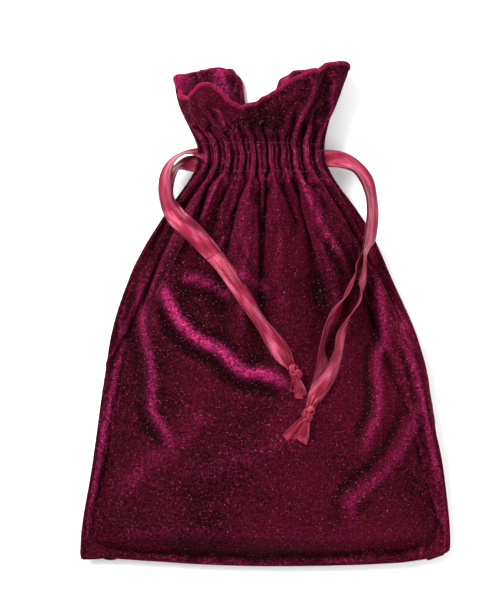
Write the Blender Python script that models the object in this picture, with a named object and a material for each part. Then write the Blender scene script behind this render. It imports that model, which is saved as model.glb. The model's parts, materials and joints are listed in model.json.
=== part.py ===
"""Velvet drawstring gift pouch, lying on its back, closed, with its two ribbon drawstrings knotted.

The pouch is two velvet panels sewn together at the sides and the bottom. Above the shoulder they
are gathered into a neck, where a turned-in hem makes the casing that the ribbons run through, and
they flare out again into a ruffled header. Each ribbon goes once round the neck inside the casing,
comes out at its own side, and its two strands lie over the front and end in one knot.

Sizes are in millimetres until a mesh is finished. X is across, +Y points to the mouth, +Z is up.
"""

import math

import bmesh
import bpy
from mathutils import Vector

MM = 0.001

# The seam line round the bag: its two side edges, its height above the table, and how far the
# front cloth stands above it and the back cloth below it, from the bottom edge to the lip.
# (y, left edge x, right edge x, seam height, front crown, back depth)
STATIONS = (
    (-94.0, -70.1, 67.6, 4.6, 16.0, 9.0),
    (-82.0, -69.7, 70.2, 5.0, 17.0, 9.5),
    (-68.0, -66.4, 68.4, 5.2, 17.6, 10.0),
    (-47.0, -63.2, 66.2, 5.5, 18.0, 10.5),
    (-32.0, -61.3, 64.4, 5.8, 18.0, 11.0),
    (-14.0, -58.7, 59.4, 6.2, 17.8, 11.8),
    (5.0, -53.4, 50.4, 6.8, 17.2, 12.6),
    (20.0, -47.1, 43.7, 7.6, 15.6, 13.2),
    (31.0, -40.5, 39.6, 8.6, 13.2, 12.5),
    (42.0, -33.2, 31.4, 9.4, 11.0, 9.6),
    (50.0, -26.6, 25.0, 10.0, 9.8, 7.9),
    (58.0, -22.6, 21.0, 10.2, 9.2, 7.5),
    (65.0, -24.6, 21.4, 10.3, 9.4, 7.6),
    (73.0, -28.8, 24.6, 10.6, 10.4, 8.3),
    (82.0, -33.2, 28.2, 11.0, 11.6, 9.4),
    (94.0, -34.2, 29.8, 11.4, 12.8, 9.8),
)
BOTTOM_Y = -94.0
BOTTOM_ROUND = 14.0
SHOULDER_Y = 42.0

CLOTH = 1.5
GAP = 0.3
SEAM_HALF_GAP = 1.1
SEAM_ALLOWANCE = 8.0

# The casing: the channel that the ribbons run in, between two stitch rows.
CASING_LOW = 53.0
CASING_HIGH = 63.5
HEM_LOW = 50.0
HEM_CLOTH = 1.0
HEM_BELOW_LIP = 2.5
HEM_GAP = 0.8
HEM_ROWS = 9
STITCH = 0.6

# Gathers: shallow grooves round the neck, and the wide waves of the header.
GATHERS = 22
GATHER_DEPTH = 0.7
RUFFLES = 7
RUFFLE_HEIGHT = 2.2
RUFFLE_FROM = 64.0

# Lip heights along the header, from its left edge to its right edge.
FRONT_LIP = (84.0, 84.5, 80.0, 81.0, 85.5, 88.5, 89.0)
BACK_LIP = (92.0, 93.4, 90.5, 80.0, 90.0, 94.0, 92.0)

# Ribbon: the two strands of a pair lie one on the other, half a stack each side of their route.
RIBBON_WIDTH = 6.35
RIBBON_THICK = 0.6
STACK = 0.5
RIBBON_LIFT = 1.3
HINGE_GAP = 1.2
RUN_WIDTH = 4.4
RUN_THICK = 1.0
RUN_SPACING = 5.0
RUN_CENTRE_Y = 58.2
STRAND_STEP = 5.0
ON_BAG = None

# Routes of the ribbons: (x, y, z or ON_BAG, roll in degrees from lying flat).
LEFT_HINGE = (-28.6, 32.2, ON_BAG, 0.0)
LEFT_UPPER_EXIT = (
    (-20.0, 59.6, 10.2, 0.0),
    (-24.6, 60.0, 10.3, 0.0),
    (-29.4, 60.0, 11.2, -30.0),
    (-33.7, 57.6, 11.8, -45.0),
    (-36.3, 53.0, 12.2, -45.0),
    (-37.0, 47.6, 12.8, -45.0),
    (-36.3, 42.0, 14.4, -45.0),
    (-33.4, 36.8, ON_BAG, 0.0),
    LEFT_HINGE,
)
LEFT_LOWER_EXIT = (
    (-20.0, 56.4, 10.2, 0.0),
    (-24.6, 56.2, 10.1, 0.0),
    (-29.0, 56.4, 10.0, -10.0),
    (-32.9, 55.0, 10.2, -35.0),
    (-35.5, 51.4, 11.2, -45.0),
    (-36.5, 47.2, 12.2, -45.0),
    (-36.0, 42.2, 14.1, -45.0),
    (-33.4, 36.8, ON_BAG, 0.0),
    LEFT_HINGE,
)
LEFT_STRAND = (
    LEFT_HINGE,
    (-22.3, 25.7, ON_BAG, 0.0),
    (-15.9, 18.2, ON_BAG, 0.0),
    (-8.1, 6.9, ON_BAG, 0.0),
    (-0.9, -4.3, ON_BAG, 0.0),
    (5.8, -13.7, ON_BAG, 0.0),
    (9.2, -18.6, ON_BAG, 0.0),
)
RIGHT_HINGE = (37.4, 22.6, ON_BAG, 0.0)
RIGHT_EXIT = (
    (18.4, 58.4, 10.2, 0.0),
    (23.0, 58.4, 10.2, 0.0),
    (29.0, 57.6, 10.6, 0.0),
    (34.6, 54.8, 11.2, 20.0),
    (38.2, 50.0, 11.8, 40.0),
    (39.9, 43.8, 12.2, 45.0),
    (40.4, 37.0, 13.4, 45.0),
    (39.8, 31.5, 15.0, 45.0),
    (38.9, 27.0, 16.6, 35.0),
    RIGHT_HINGE,
)
RIGHT_INNER_STRAND = (
    RIGHT_HINGE,
    (35.6, 18.0, ON_BAG, 0.0),
    (33.6, 13.3, ON_BAG, 0.0),
    (30.6, 6.6, ON_BAG, 0.0),
    (26.8, 1.0, ON_BAG, 0.0),
    (23.6, -5.1, ON_BAG, 0.0),
    (21.4, -12.0, ON_BAG, 0.0),
    (21.2, -21.0, ON_BAG, 0.0),
    (19.6, -28.0, ON_BAG, 0.0),
    (17.6, -33.2, ON_BAG, 0.0),
)
RIGHT_OUTER_STRAND = (
    RIGHT_HINGE,
    (37.2, 18.0, ON_BAG, 0.0),
    (36.4, 11.2, ON_BAG, 0.0),
    (34.3, 3.9, ON_BAG, 0.0),
    (30.6, -2.4, ON_BAG, 0.0),
    (28.4, -8.0, ON_BAG, 0.0),
    (27.2, -15.0, ON_BAG, 0.0),
    (24.4, -22.6, ON_BAG, 0.0),
    (20.6, -29.0, ON_BAG, 0.0),
    (18.0, -33.2, ON_BAG, 0.0),
)

# Knots: (x, y), the radii along and across the strand and upwards, and where the cut ends point.
KNOT_RADII = (3.4, 2.9, 2.1)
KNOT_CLEARANCE = 0.9
LEFT_KNOT = (11.4, -21.8)
RIGHT_KNOT = (16.2, -37.2)
LEFT_END_LENGTHS = (7.0, 5.0)
RIGHT_END_LENGTHS = (10.5, 8.5)
LEFT_END_TURNS = (-20.0, -32.0)
RIGHT_END_TURNS = (-14.0, 10.0)
END_STACK = 0.5

PANEL_COLUMNS = 22
PANEL_ROWS = 14
ROUND_ROWS = 5
MOUTH_COLUMNS = 44
MOUTH_ROWS = 7
ARCH_COLUMNS = 20

VELVET = ("velvet", (0.098, 0.010, 0.022, 1.0), 0.85)
VELVET_HEM = ("velvet_hem", (0.120, 0.012, 0.030, 1.0), 0.9)
SATIN = ("satin_ribbon", (0.255, 0.020, 0.045, 1.0), 0.35)
THREAD = ("thread", (0.070, 0.008, 0.018, 1.0), 0.7)


def clear_scene():
    """Removes whatever the file starts with."""
    for thing in list(bpy.data.objects):
        bpy.data.objects.remove(thing, do_unlink=True)


def smooth(values, places, at):
    """Reads a smooth curve through values, which stand at rising places."""
    at = min(max(at, places[0]), places[-1])
    last = len(places) - 2
    low = min(max(sum(place <= at for place in places) - 1, 0), last)
    before, after = max(low - 1, 0), min(low + 2, last + 1)
    span = places[low + 1] - places[low]
    slope_low = (values[low + 1] - values[before]) / (places[low + 1] - places[before])
    slope_high = (values[after] - values[low]) / (places[after] - places[low])
    part = (at - places[low]) / span
    rest = 1.0 - part
    return (
        values[low] * (1 + 2 * part) * rest**2
        + values[low + 1] * (1 + 2 * rest) * part**2
        + span * part * rest * (slope_low * rest - slope_high * part)
    )


def station(y):
    """Left edge, right edge, seam height, front crown and back depth of the bag at y."""
    places = [row[0] for row in STATIONS]
    return [smooth(column, places, y) for column in list(zip(*STATIONS))[1:]]


def finish(kind):
    """The material of one kind of cloth or ribbon."""
    name, colour, roughness = kind
    material = bpy.data.materials.get(name)
    if material:
        return material
    material = bpy.data.materials.new(name)
    material.diffuse_color = colour
    material.use_nodes = True
    shader = material.node_tree.nodes["Principled BSDF"]
    shader.inputs["Base Color"].default_value = colour
    shader.inputs["Roughness"].default_value = roughness
    shader.inputs["Metallic"].default_value = 0.0
    return material


def pivot_empty(name, place, parent=None):
    """An empty on a joint's axis, which the pieces that turn or slide there are parented to."""
    pivot = bpy.data.objects.new(name, None)
    bpy.context.collection.objects.link(pivot)
    pivot["place"] = tuple(place)
    pivot.parent = parent
    base = Vector(parent["place"]) if parent else Vector()
    pivot.location = (Vector(place) - base) * MM
    return pivot


def finished(name, mesh, kind, pivot=None):
    """Turns a bmesh in millimetres into a named object in metres, on its joint's empty if it has one."""
    base = Vector(pivot["place"]) if pivot else Vector()
    bmesh.ops.translate(mesh, verts=mesh.verts, vec=-base)
    bmesh.ops.scale(mesh, verts=mesh.verts, vec=(MM, MM, MM))
    bmesh.ops.recalc_face_normals(mesh, faces=mesh.faces)
    if mesh.calc_volume(signed=True) < 0.0:
        bmesh.ops.reverse_faces(mesh, faces=mesh.faces)
    data = bpy.data.meshes.new(name)
    mesh.to_mesh(data)
    mesh.free()
    data.materials.append(finish(kind))
    data.shade_smooth()
    thing = bpy.data.objects.new(name, data)
    thing.parent = pivot
    bpy.context.collection.objects.link(thing)
    return thing


def shell(name, outer, inner, columns, rows, kind, pivot=None):
    """A wall between two surfaces, each a function of u from -1 to 1 across and v from 0 to 1 along."""
    mesh = bmesh.new()
    bmesh.ops.create_grid(mesh, x_segments=columns, y_segments=rows, size=1.0)
    outer_points = list(mesh.verts)
    walls = bmesh.ops.extrude_face_region(mesh, geom=mesh.faces[:], use_keep_orig=True)
    inner_points = [item for item in walls["geom"] if isinstance(item, bmesh.types.BMVert)]
    for points, surface in ((outer_points, outer), (inner_points, inner)):
        for point in points:
            u, v = point.co.x, (point.co.y + 1.0) / 2.0
            point.co = surface(u, v)
    return finished(name, mesh, kind, pivot)


def arch(y, turn, side, inset, rise=1.0, wave=0.0):
    """A point on the bag's cross-section at y.

    turn runs from -90 degrees at the left edge to 90 at the right one, side is 1 on the front and
    -1 on the back, inset is the distance inside the outer face, rise flattens the bottom edge,
    and wave moves the point outwards.
    """
    left, right, seam, crown, back = station(y)
    half = (right - left) / 2.0 - inset + wave
    depth = crown if side > 0 else back
    x = (left + right) / 2.0 + half * math.sin(turn)
    z = seam + side * (SEAM_HALF_GAP + (depth - inset + wave) * rise * math.cos(turn))
    floor = max(inset, 0.0) if side < 0 else 0.0
    return Vector((x, y, max(z, min(floor, seam - SEAM_HALF_GAP))))


def panel_surface(side, inset):
    """The face of a body panel, from the rounded bottom edge up to the shoulder."""
    share = ROUND_ROWS / PANEL_ROWS

    def surface(u, v):
        turn = u * math.pi / 2
        if v < share:
            lean = v / share * math.pi / 2
            y = BOTTOM_Y + inset + (BOTTOM_ROUND - inset) * (1.0 - math.cos(lean))
            return arch(y, turn, side, inset, math.sin(lean))
        start = BOTTOM_Y + BOTTOM_ROUND
        y = start + (SHOULDER_Y - start) * (v - share) / (1.0 - share)
        return arch(y, turn, side, inset)

    return surface


def mouth_surface(side, inset, start, lip, below_lip=0.0, grooves=0.0):
    """A face of the gathered neck and the ruffled header, from start up to the lip."""
    places = [2.0 * index / (len(lip) - 1) - 1.0 for index in range(len(lip))]

    def surface(u, v):
        turn = u * math.pi / 2
        top = smooth(lip, places, u) - below_lip
        y = start + (top - start) * v
        flare = max(0.0, (y - RUFFLE_FROM) / (top - RUFFLE_FROM))
        wave = RUFFLE_HEIGHT * flare * math.cos(RUFFLES * turn)
        calm = 1.0 - flare
        groove = grooves * calm * (1.0 - math.cos(2 * GATHERS * turn)) / 2.0
        return arch(y, turn, side, inset, wave=wave - groove)

    return surface


def band_surface(side, inset, low, high):
    """A face of a straight band round the neck, such as a ribbon's run or a row of stitches."""

    def surface(u, v):
        return arch(low + (high - low) * v, u * math.pi / 2, side, inset)

    return surface


def front_height(x, y):
    """Height of the front panel's outer face at a place on it."""
    left, right, seam, crown, _ = station(y)
    across = (x - (left + right) / 2.0) / ((right - left) / 2.0)
    return seam + SEAM_HALF_GAP + crown * math.sqrt(max(0.0, 1.0 - across**2))


def front_normal(x, y):
    """The way that the front panel faces at a place on it."""
    reach = 2.0
    slope_x = (front_height(x + reach, y) - front_height(x - reach, y)) / (2 * reach)
    slope_y = (front_height(x, y + reach) - front_height(x, y - reach)) / (2 * reach)
    return Vector((-slope_x, -slope_y, 1.0)).normalized()


def settled(route):
    """A route's points, facings and rolls, with the points that lie on the bag put on its face."""
    points, facings, rolls = [], [], []
    for x, y, z, roll in route:
        on_bag = z is ON_BAG
        facing = front_normal(x, y) if on_bag else Vector((0.0, 0.0, 1.0))
        base = Vector((x, y, front_height(x, y) if on_bag else z))
        points.append(base + facing * (RIBBON_LIFT if on_bag else 0.0))
        facings.append(facing)
        rolls.append(math.radians(roll))
    return points, facings, rolls


def smooth_route(route):
    """Rings along a route: each ring's centre, its side vector and its facing."""
    points, facings, rolls = settled(route)
    places = [0.0]
    for first, second in zip(points, points[1:]):
        places.append(places[-1] + (second - first).length)
    count = max(2, round(places[-1] / STRAND_STEP)) + 1
    stops = [places[-1] * index / (count - 1) for index in range(count)]
    read = [
        Vector([smooth([point[axis] for point in points], places, stop) for axis in range(3)])
        for stop in stops
    ]
    rings = []
    for index, (stop, centre) in enumerate(zip(stops, read)):
        along = read[min(index + 1, count - 1)] - read[max(index - 1, 0)]
        facing = Vector([smooth([face[axis] for face in facings], places, stop) for axis in range(3)])
        flat = along.cross(facing).normalized()
        up = flat.cross(along).normalized()
        roll = smooth(rolls, places, stop)
        side = flat * math.cos(roll) + up * math.sin(roll)
        rings.append((centre, side, side.cross(along).normalized()))
    return rings


def ribbon(name, rings, stack, pivot=None, width=RIBBON_WIDTH, trim=0.0):
    """A flat band along its rings, a stack's height above them, cut back by trim at its start."""
    start, side, up = rings[0]
    rings = [(start + (rings[1][0] - start).normalized() * trim, side, up)] + rings[1:]

    def surface(height):
        def place(u, v):
            centre, side, up = rings[round(v * (len(rings) - 1))]
            return centre + side * u * width / 2 + up * height

        return place

    faces = surface(stack + RIBBON_THICK / 2), surface(stack - RIBBON_THICK / 2)
    return shell(name, *faces, 1, len(rings) - 1, SATIN, pivot)


def seam_strip(name, points, inward):
    """Turned-in cloth between the panels: a flat strip from the seam line inwards."""

    def surface(height):
        def place(u, v):
            reach = GAP + (SEAM_ALLOWANCE - GAP) * (u + 1.0) / 2.0
            point = points[round(v * (len(points) - 1))]
            return point + inward * reach + Vector((0.0, 0.0, height))

        return place

    thick = SEAM_HALF_GAP - GAP
    return shell(name, surface(thick), surface(-thick), 1, len(points) - 1, VELVET_HEM)


def build_panels():
    """The two body panels below the shoulder."""
    for name, side in (("front_panel", 1), ("back_panel", -1)):
        faces = panel_surface(side, 0.0), panel_surface(side, CLOTH)
        shell(name, *faces, PANEL_COLUMNS, PANEL_ROWS, VELVET)


def build_seams():
    """The turned-in cloth of the two side seams and the bottom seam."""
    steps = 12
    low, high = BOTTOM_Y + BOTTOM_ROUND / 2, SHOULDER_Y - GAP
    for name, column, inward in (("left_side_seam", 0, 1.0), ("right_side_seam", 1, -1.0)):
        points = []
        for index in range(steps + 1):
            y = low + (high - low) * index / steps
            rows = station(y)
            points.append(Vector((rows[column], y, rows[2])))
        seam_strip(name, points, Vector((inward, 0.0, 0.0)))
    left, right, seam, _, _ = station(BOTTOM_Y)
    inset = SEAM_ALLOWANCE + 2 * GAP
    points = [
        Vector((left + inset + (right - left - 2 * inset) * index / steps, BOTTOM_Y, seam))
        for index in range(steps + 1)
    ]
    seam_strip("bottom_seam", points, Vector((0.0, 1.0, 0.0)))


def build_mouth(name, side, lip, pivot):
    """One side of the neck and header: its cloth, its turned-in hem and its two stitch rows."""
    start = SHOULDER_Y + GAP
    outer = mouth_surface(side, 0.0, start, lip, grooves=GATHER_DEPTH)
    inner = mouth_surface(side, CLOTH, start, lip)
    shell(f"{name}_mouth", outer, inner, MOUTH_COLUMNS, MOUTH_ROWS, VELVET, pivot)
    hem = CLOTH + GAP + RUN_THICK + HEM_GAP
    outer = mouth_surface(side, hem, HEM_LOW, lip, HEM_BELOW_LIP)
    inner = mouth_surface(side, hem + HEM_CLOTH, HEM_LOW, lip, HEM_BELOW_LIP)
    shell(f"{name}_casing_hem", outer, inner, ARCH_COLUMNS, HEM_ROWS, VELVET_HEM, pivot)
    for row, low in (("lower", CASING_LOW), ("upper", CASING_HIGH)):
        outer = band_surface(side, -GAP - STITCH, low - STITCH / 2, low + STITCH / 2)
        inner = band_surface(side, -GAP, low - STITCH / 2, low + STITCH / 2)
        shell(f"{name}_casing_stitch_{row}", outer, inner, ARCH_COLUMNS, 1, THREAD, pivot)


def build_runs(name, side, pivot):
    """The parts of both ribbons inside one side's casing."""
    inset = CLOTH + GAP
    for hand, place in (("left", RUN_SPACING / 2), ("right", -RUN_SPACING / 2)):
        low = RUN_CENTRE_Y + place - RUN_WIDTH / 2
        outer = band_surface(side, inset, low, low + RUN_WIDTH)
        inner = band_surface(side, inset + RUN_THICK, low, low + RUN_WIDTH)
        shell(f"{hand}_ribbon_{name}_run", outer, inner, ARCH_COLUMNS, 1, SATIN, pivot)


def build_knot(hand, place, lengths, turns, pivot, heading):
    """A ribbon's knot with its two cut ends, which point on along the heading."""
    x, y = place
    centre = Vector((x, y, front_height(x, y) + KNOT_RADII[2] + KNOT_CLEARANCE))
    mesh = bmesh.new()
    bmesh.ops.create_icosphere(mesh, subdivisions=2, radius=1.0)
    bmesh.ops.scale(mesh, verts=mesh.verts, vec=KNOT_RADII)
    turn = heading.to_track_quat("X", "Z").to_matrix()
    bmesh.ops.rotate(mesh, verts=mesh.verts, matrix=turn)
    bmesh.ops.translate(mesh, verts=mesh.verts, vec=centre)
    finished(f"{hand}_ribbon_knot", mesh, SATIN, pivot)
    up = Vector((0.0, 0.0, 1.0))
    for index, (length, turn) in enumerate(zip(lengths, turns)):
        angle = math.radians(turn)
        away = heading * math.cos(angle) + up.cross(heading) * math.sin(angle)
        start = centre + away * (KNOT_RADII[0] + GAP)
        rings = [(start + away * length * part, away.cross(up), up) for part in (0.0, 0.5, 1.0)]
        stack = END_STACK * (2 * index - 1)
        ribbon(f"{hand}_ribbon_cut_end_{index + 1}", rings, stack, pivot, width=RIBBON_WIDTH * 0.8)


def hinge_place(route_point):
    """The top of the upper strand where a tail starts, which is the line that it lifts about."""
    points, facings, _ = settled((route_point,))
    return points[0] + facings[0] * (STACK + RIBBON_THICK / 2)


def build_tail(hand, exits, strands, knot, lengths, turns):
    """One ribbon outside the casing: its two exit loops, its two strands, its knot and its ends."""
    for (level, stack), route in zip((("upper", STACK), ("lower", -STACK)), exits):
        ribbon(f"{hand}_ribbon_{level}_exit", smooth_route(route), stack)
    lift = pivot_empty(f"{hand}_lift", hinge_place(strands[0][0]))
    for (level, stack), route in zip((("upper", STACK), ("lower", -STACK)), strands):
        ribbon(f"{hand}_ribbon_{level}_strand", smooth_route(route), stack, lift, trim=HINGE_GAP)
    start = Vector(strands[0][0][:2]).to_3d()
    place = Vector(knot).to_3d()
    draw = pivot_empty(f"{hand}_draw", (place.x, place.y, front_height(*knot)), lift)
    build_knot(hand, knot, lengths, turns, draw, (place - start).normalized())


def build():
    """Builds the whole pouch."""
    clear_scene()
    build_panels()
    build_seams()
    _, _, seam, crown, _ = station(SHOULDER_Y)
    mouth_hinge = pivot_empty("mouth_open", (0.0, SHOULDER_Y, seam + SEAM_HALF_GAP + crown))
    build_mouth("back", -1, BACK_LIP, None)
    build_mouth("front", 1, FRONT_LIP, mouth_hinge)
    build_runs("back", -1, None)
    build_runs("front", 1, mouth_hinge)
    left_exits = LEFT_UPPER_EXIT, LEFT_LOWER_EXIT
    left_strands = LEFT_STRAND, LEFT_STRAND
    build_tail("left", left_exits, left_strands, LEFT_KNOT, LEFT_END_LENGTHS, LEFT_END_TURNS)
    right_exits = RIGHT_EXIT, RIGHT_EXIT
    right_strands = RIGHT_OUTER_STRAND, RIGHT_INNER_STRAND
    build_tail("right", right_exits, right_strands, RIGHT_KNOT, RIGHT_END_LENGTHS, RIGHT_END_TURNS)


build()
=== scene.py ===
"""Looks of a velvet drawstring gift pouch that lies closed on its back.

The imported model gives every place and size. The cloth is settled by simulation from its flat
pattern, and everything else is built on the settled cloth. Lengths are in metres.
"""

import json
import logging
import math
from collections.abc import Callable
from dataclasses import dataclass
from enum import Enum
from typing import ClassVar

import bmesh
import bpy
import numpy as np
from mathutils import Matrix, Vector, noise
from mathutils.bvhtree import BVHTree


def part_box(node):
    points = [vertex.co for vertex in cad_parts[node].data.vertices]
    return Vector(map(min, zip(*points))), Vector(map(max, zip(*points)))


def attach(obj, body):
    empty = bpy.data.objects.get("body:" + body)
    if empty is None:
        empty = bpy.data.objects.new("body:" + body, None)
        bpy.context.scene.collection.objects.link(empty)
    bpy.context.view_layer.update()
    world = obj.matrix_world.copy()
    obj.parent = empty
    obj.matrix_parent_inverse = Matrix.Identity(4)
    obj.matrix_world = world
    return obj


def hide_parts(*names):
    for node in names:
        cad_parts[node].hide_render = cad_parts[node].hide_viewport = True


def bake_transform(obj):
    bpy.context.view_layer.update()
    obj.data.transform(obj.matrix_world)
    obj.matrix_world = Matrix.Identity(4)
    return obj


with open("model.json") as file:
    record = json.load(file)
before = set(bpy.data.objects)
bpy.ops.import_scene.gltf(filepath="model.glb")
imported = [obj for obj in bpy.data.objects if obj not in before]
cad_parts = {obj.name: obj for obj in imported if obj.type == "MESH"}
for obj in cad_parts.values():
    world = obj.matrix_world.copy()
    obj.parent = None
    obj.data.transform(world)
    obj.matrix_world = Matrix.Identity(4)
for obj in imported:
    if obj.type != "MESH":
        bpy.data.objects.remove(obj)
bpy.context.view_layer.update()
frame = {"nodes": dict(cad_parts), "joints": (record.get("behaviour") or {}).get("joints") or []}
MM = 0.001
LOG = logging.getLogger("pouch")

Array = np.ndarray
Point = tuple[float, float]
Ring = tuple[Vector, Vector, Vector]
Surface = Callable[[float, float], tuple[float, float]]


class Side(Enum):
    """The two panels of the pouch, and the way that each faces."""

    FRONT = 1
    BACK = -1


class Hand(Enum):
    """The two drawstrings."""

    LEFT = "left"
    RIGHT = "right"


# --------------------------------------------------------------------------- finishes


@dataclass(frozen=True)
class Velvet:
    """Short-pile velvet: dark face on, light where the pile is seen from its side, and a painted highlight
    colour for lit crests.
    """

    name: str = "burgundy_velvet"
    deep: tuple[float, float, float] = (0.0060, 0.0003, 0.0014)
    lit: tuple[float, float, float] = (0.049, 0.0013, 0.0078)
    # The painted highlight colour that crests and lit folds are mixed toward.
    bright: tuple[float, float, float] = (0.43, 0.020, 0.130)
    speck: tuple[float, float, float] = (0.48, 0.085, 0.150)
    sheen: tuple[float, float, float] = (1.0, 0.03, 0.18)
    sheen_weight: float = 0.13
    sheen_roughness: float = 0.30
    patch_scale: float = 30.0
    mottle_scale: float = 950.0
    speck_scale: float = 1700.0

    def material(self) -> bpy.types.Material:
        """The node material of this velvet."""
        return velvet_material(self)


# A lighter copy of the velvet for the turned-in hems: painted light on the lit inside of the header.
PAINTED_LIGHT_HEM_VELVET = Velvet(
    name="burgundy_velvet_hem",
    deep=(0.012, 0.0006, 0.003),
    lit=(0.105, 0.005, 0.025),
    sheen_weight=0.28,
)
# A lighter copy of the velvet for the lip rolls: painted light on the lit rolled edge.
PAINTED_LIGHT_EDGE_VELVET = Velvet(
    name="burgundy_velvet_edge",
    deep=(0.060, 0.002, 0.012),
    lit=(0.165, 0.006, 0.034),
    sheen_weight=0.35,
)


@dataclass(frozen=True)
class Satin:
    """Satin ribbon: smooth floats across the width, glossy along it, with painted reflection patches along
    it and painted shade at its edges.
    """

    name: str = "wine_satin"
    # The colours of the painted reflection patches along the ribbon, from dark through light to a painted
    # gloss colour.
    dark: tuple[float, float, float] = (0.130, 0.005, 0.014)
    light: tuple[float, float, float] = (0.260, 0.014, 0.042)
    painted_gloss: tuple[float, float, float] = (0.50, 0.085, 0.170)
    roughness: float = 0.34
    half_width: float = 0.0032
    rib_scale: float = 1500.0
    float_scale: float = 2600.0

    def material(self) -> bpy.types.Material:
        """The node material of this satin."""
        return satin_material(self)


@dataclass(frozen=True)
class Thread:
    """Matching sewing thread."""

    name: str = "sewing_thread"
    colour: tuple[float, float, float] = (0.060, 0.005, 0.014)
    roughness: float = 0.6
    twist_scale: float = 3000.0

    def material(self) -> bpy.types.Material:
        """The node material of this thread."""
        return thread_material(self)


class Nodes:
    """A short way to add and link shader nodes."""

    def __init__(self, name: str) -> None:
        """Starts a material with one Principled shader.

        Args:
            name: the material's name.
        """
        self.material = bpy.data.materials.new(name)
        self.material.use_nodes = True
        self.tree = self.material.node_tree
        self.shader = self.tree.nodes["Principled BSDF"]

    def add(self, kind: str, **values: object) -> bpy.types.Node:
        """Adds a node and sets its sockets or properties by name.

        Args:
            kind: the node's type name.
            values: socket names with spaces as underscores, or property names.

        Returns:
            The new node.
        """
        node = self.tree.nodes.new(kind)
        for key, value in values.items():
            socket = node.inputs.get(key.replace("_", " ").title())
            if socket is None:
                setattr(node, key, value)
            elif isinstance(value, bpy.types.NodeSocket):
                self.tree.links.new(value, socket)
            else:
                socket.default_value = value
        return node

    def ramp(self, value: bpy.types.NodeSocket, *stops: tuple[float, tuple]) -> bpy.types.NodeSocket:
        """A colour ramp over a value.

        Args:
            value: the socket that drives the ramp.
            stops: (place, colour) pairs.

        Returns:
            The ramp's colour socket.
        """
        node = self.add("ShaderNodeValToRGB", fac=value)
        while len(node.color_ramp.elements) < len(stops):
            node.color_ramp.elements.new(0.5)
        for element, (place, colour) in zip(node.color_ramp.elements, stops):
            element.position = place
            element.color = (*colour, 1.0)
        return node.outputs["Color"]

    def noise(self, vector: bpy.types.NodeSocket, scale: float, detail: float = 3.0) -> bpy.types.NodeSocket:
        """A noise value at a scale.

        Args:
            vector: the coordinates that it reads.
            scale: how fine it is.
            detail: how many finer layers it adds.

        Returns:
            The noise value's socket.
        """
        return self.add("ShaderNodeTexNoise", vector=vector, scale=scale, detail=detail).outputs["Fac"]

    def mix(self, share: object, first: object, second: object, blend: str = "MIX") -> bpy.types.NodeSocket:
        """A colour mix.

        Args:
            share: how much of the second colour, a socket or a number.
            first: the first colour, a socket or a colour.
            second: the second colour, a socket or a colour.
            blend: the blend type.

        Returns:
            The mixed colour's socket.
        """
        node = self.tree.nodes.new("ShaderNodeMix")
        node.data_type = "RGBA"
        node.blend_type = blend
        for place, value in ((0, share), (6, first), (7, second)):
            if isinstance(value, bpy.types.NodeSocket):
                self.tree.links.new(value, node.inputs[place])
            else:
                node.inputs[place].default_value = value if place == 0 else (*value, 1.0)
        return node.outputs[2]

    def value(self, operation: str, first: object, second: object) -> bpy.types.NodeSocket:
        """A sum on two values.

        Args:
            operation: the Math node's operation.
            first: a socket or a number.
            second: a socket or a number.

        Returns:
            The result's socket.
        """
        node = self.tree.nodes.new("ShaderNodeMath")
        node.operation = operation
        for socket, value in zip(node.inputs, (first, second)):
            if isinstance(value, bpy.types.NodeSocket):
                self.tree.links.new(value, socket)
            else:
                socket.default_value = value
        return node.outputs[0]

    def bump(self, height: bpy.types.NodeSocket, strength: float, distance: float) -> None:
        """Feeds a height to the shader's normal.

        Args:
            height: the height's socket.
            strength: the bump's strength.
            distance: the bump's height in metres.
        """
        node = self.add("ShaderNodeBump", height=height, strength=strength, distance=distance)
        self.tree.links.new(node.outputs["Normal"], self.shader.inputs["Normal"])

    def finish(self, **values: object) -> bpy.types.Material:
        """Sets the shader's own sockets and gives the material.

        Args:
            values: socket names with spaces as underscores.

        Returns:
            The finished material.
        """
        for key, value in values.items():
            socket = self.shader.inputs[key.replace("_", " ").title().replace("Ior", "IOR")]
            if isinstance(value, bpy.types.NodeSocket):
                self.tree.links.new(value, socket)
            else:
                socket.default_value = value
        return self.material


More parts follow.
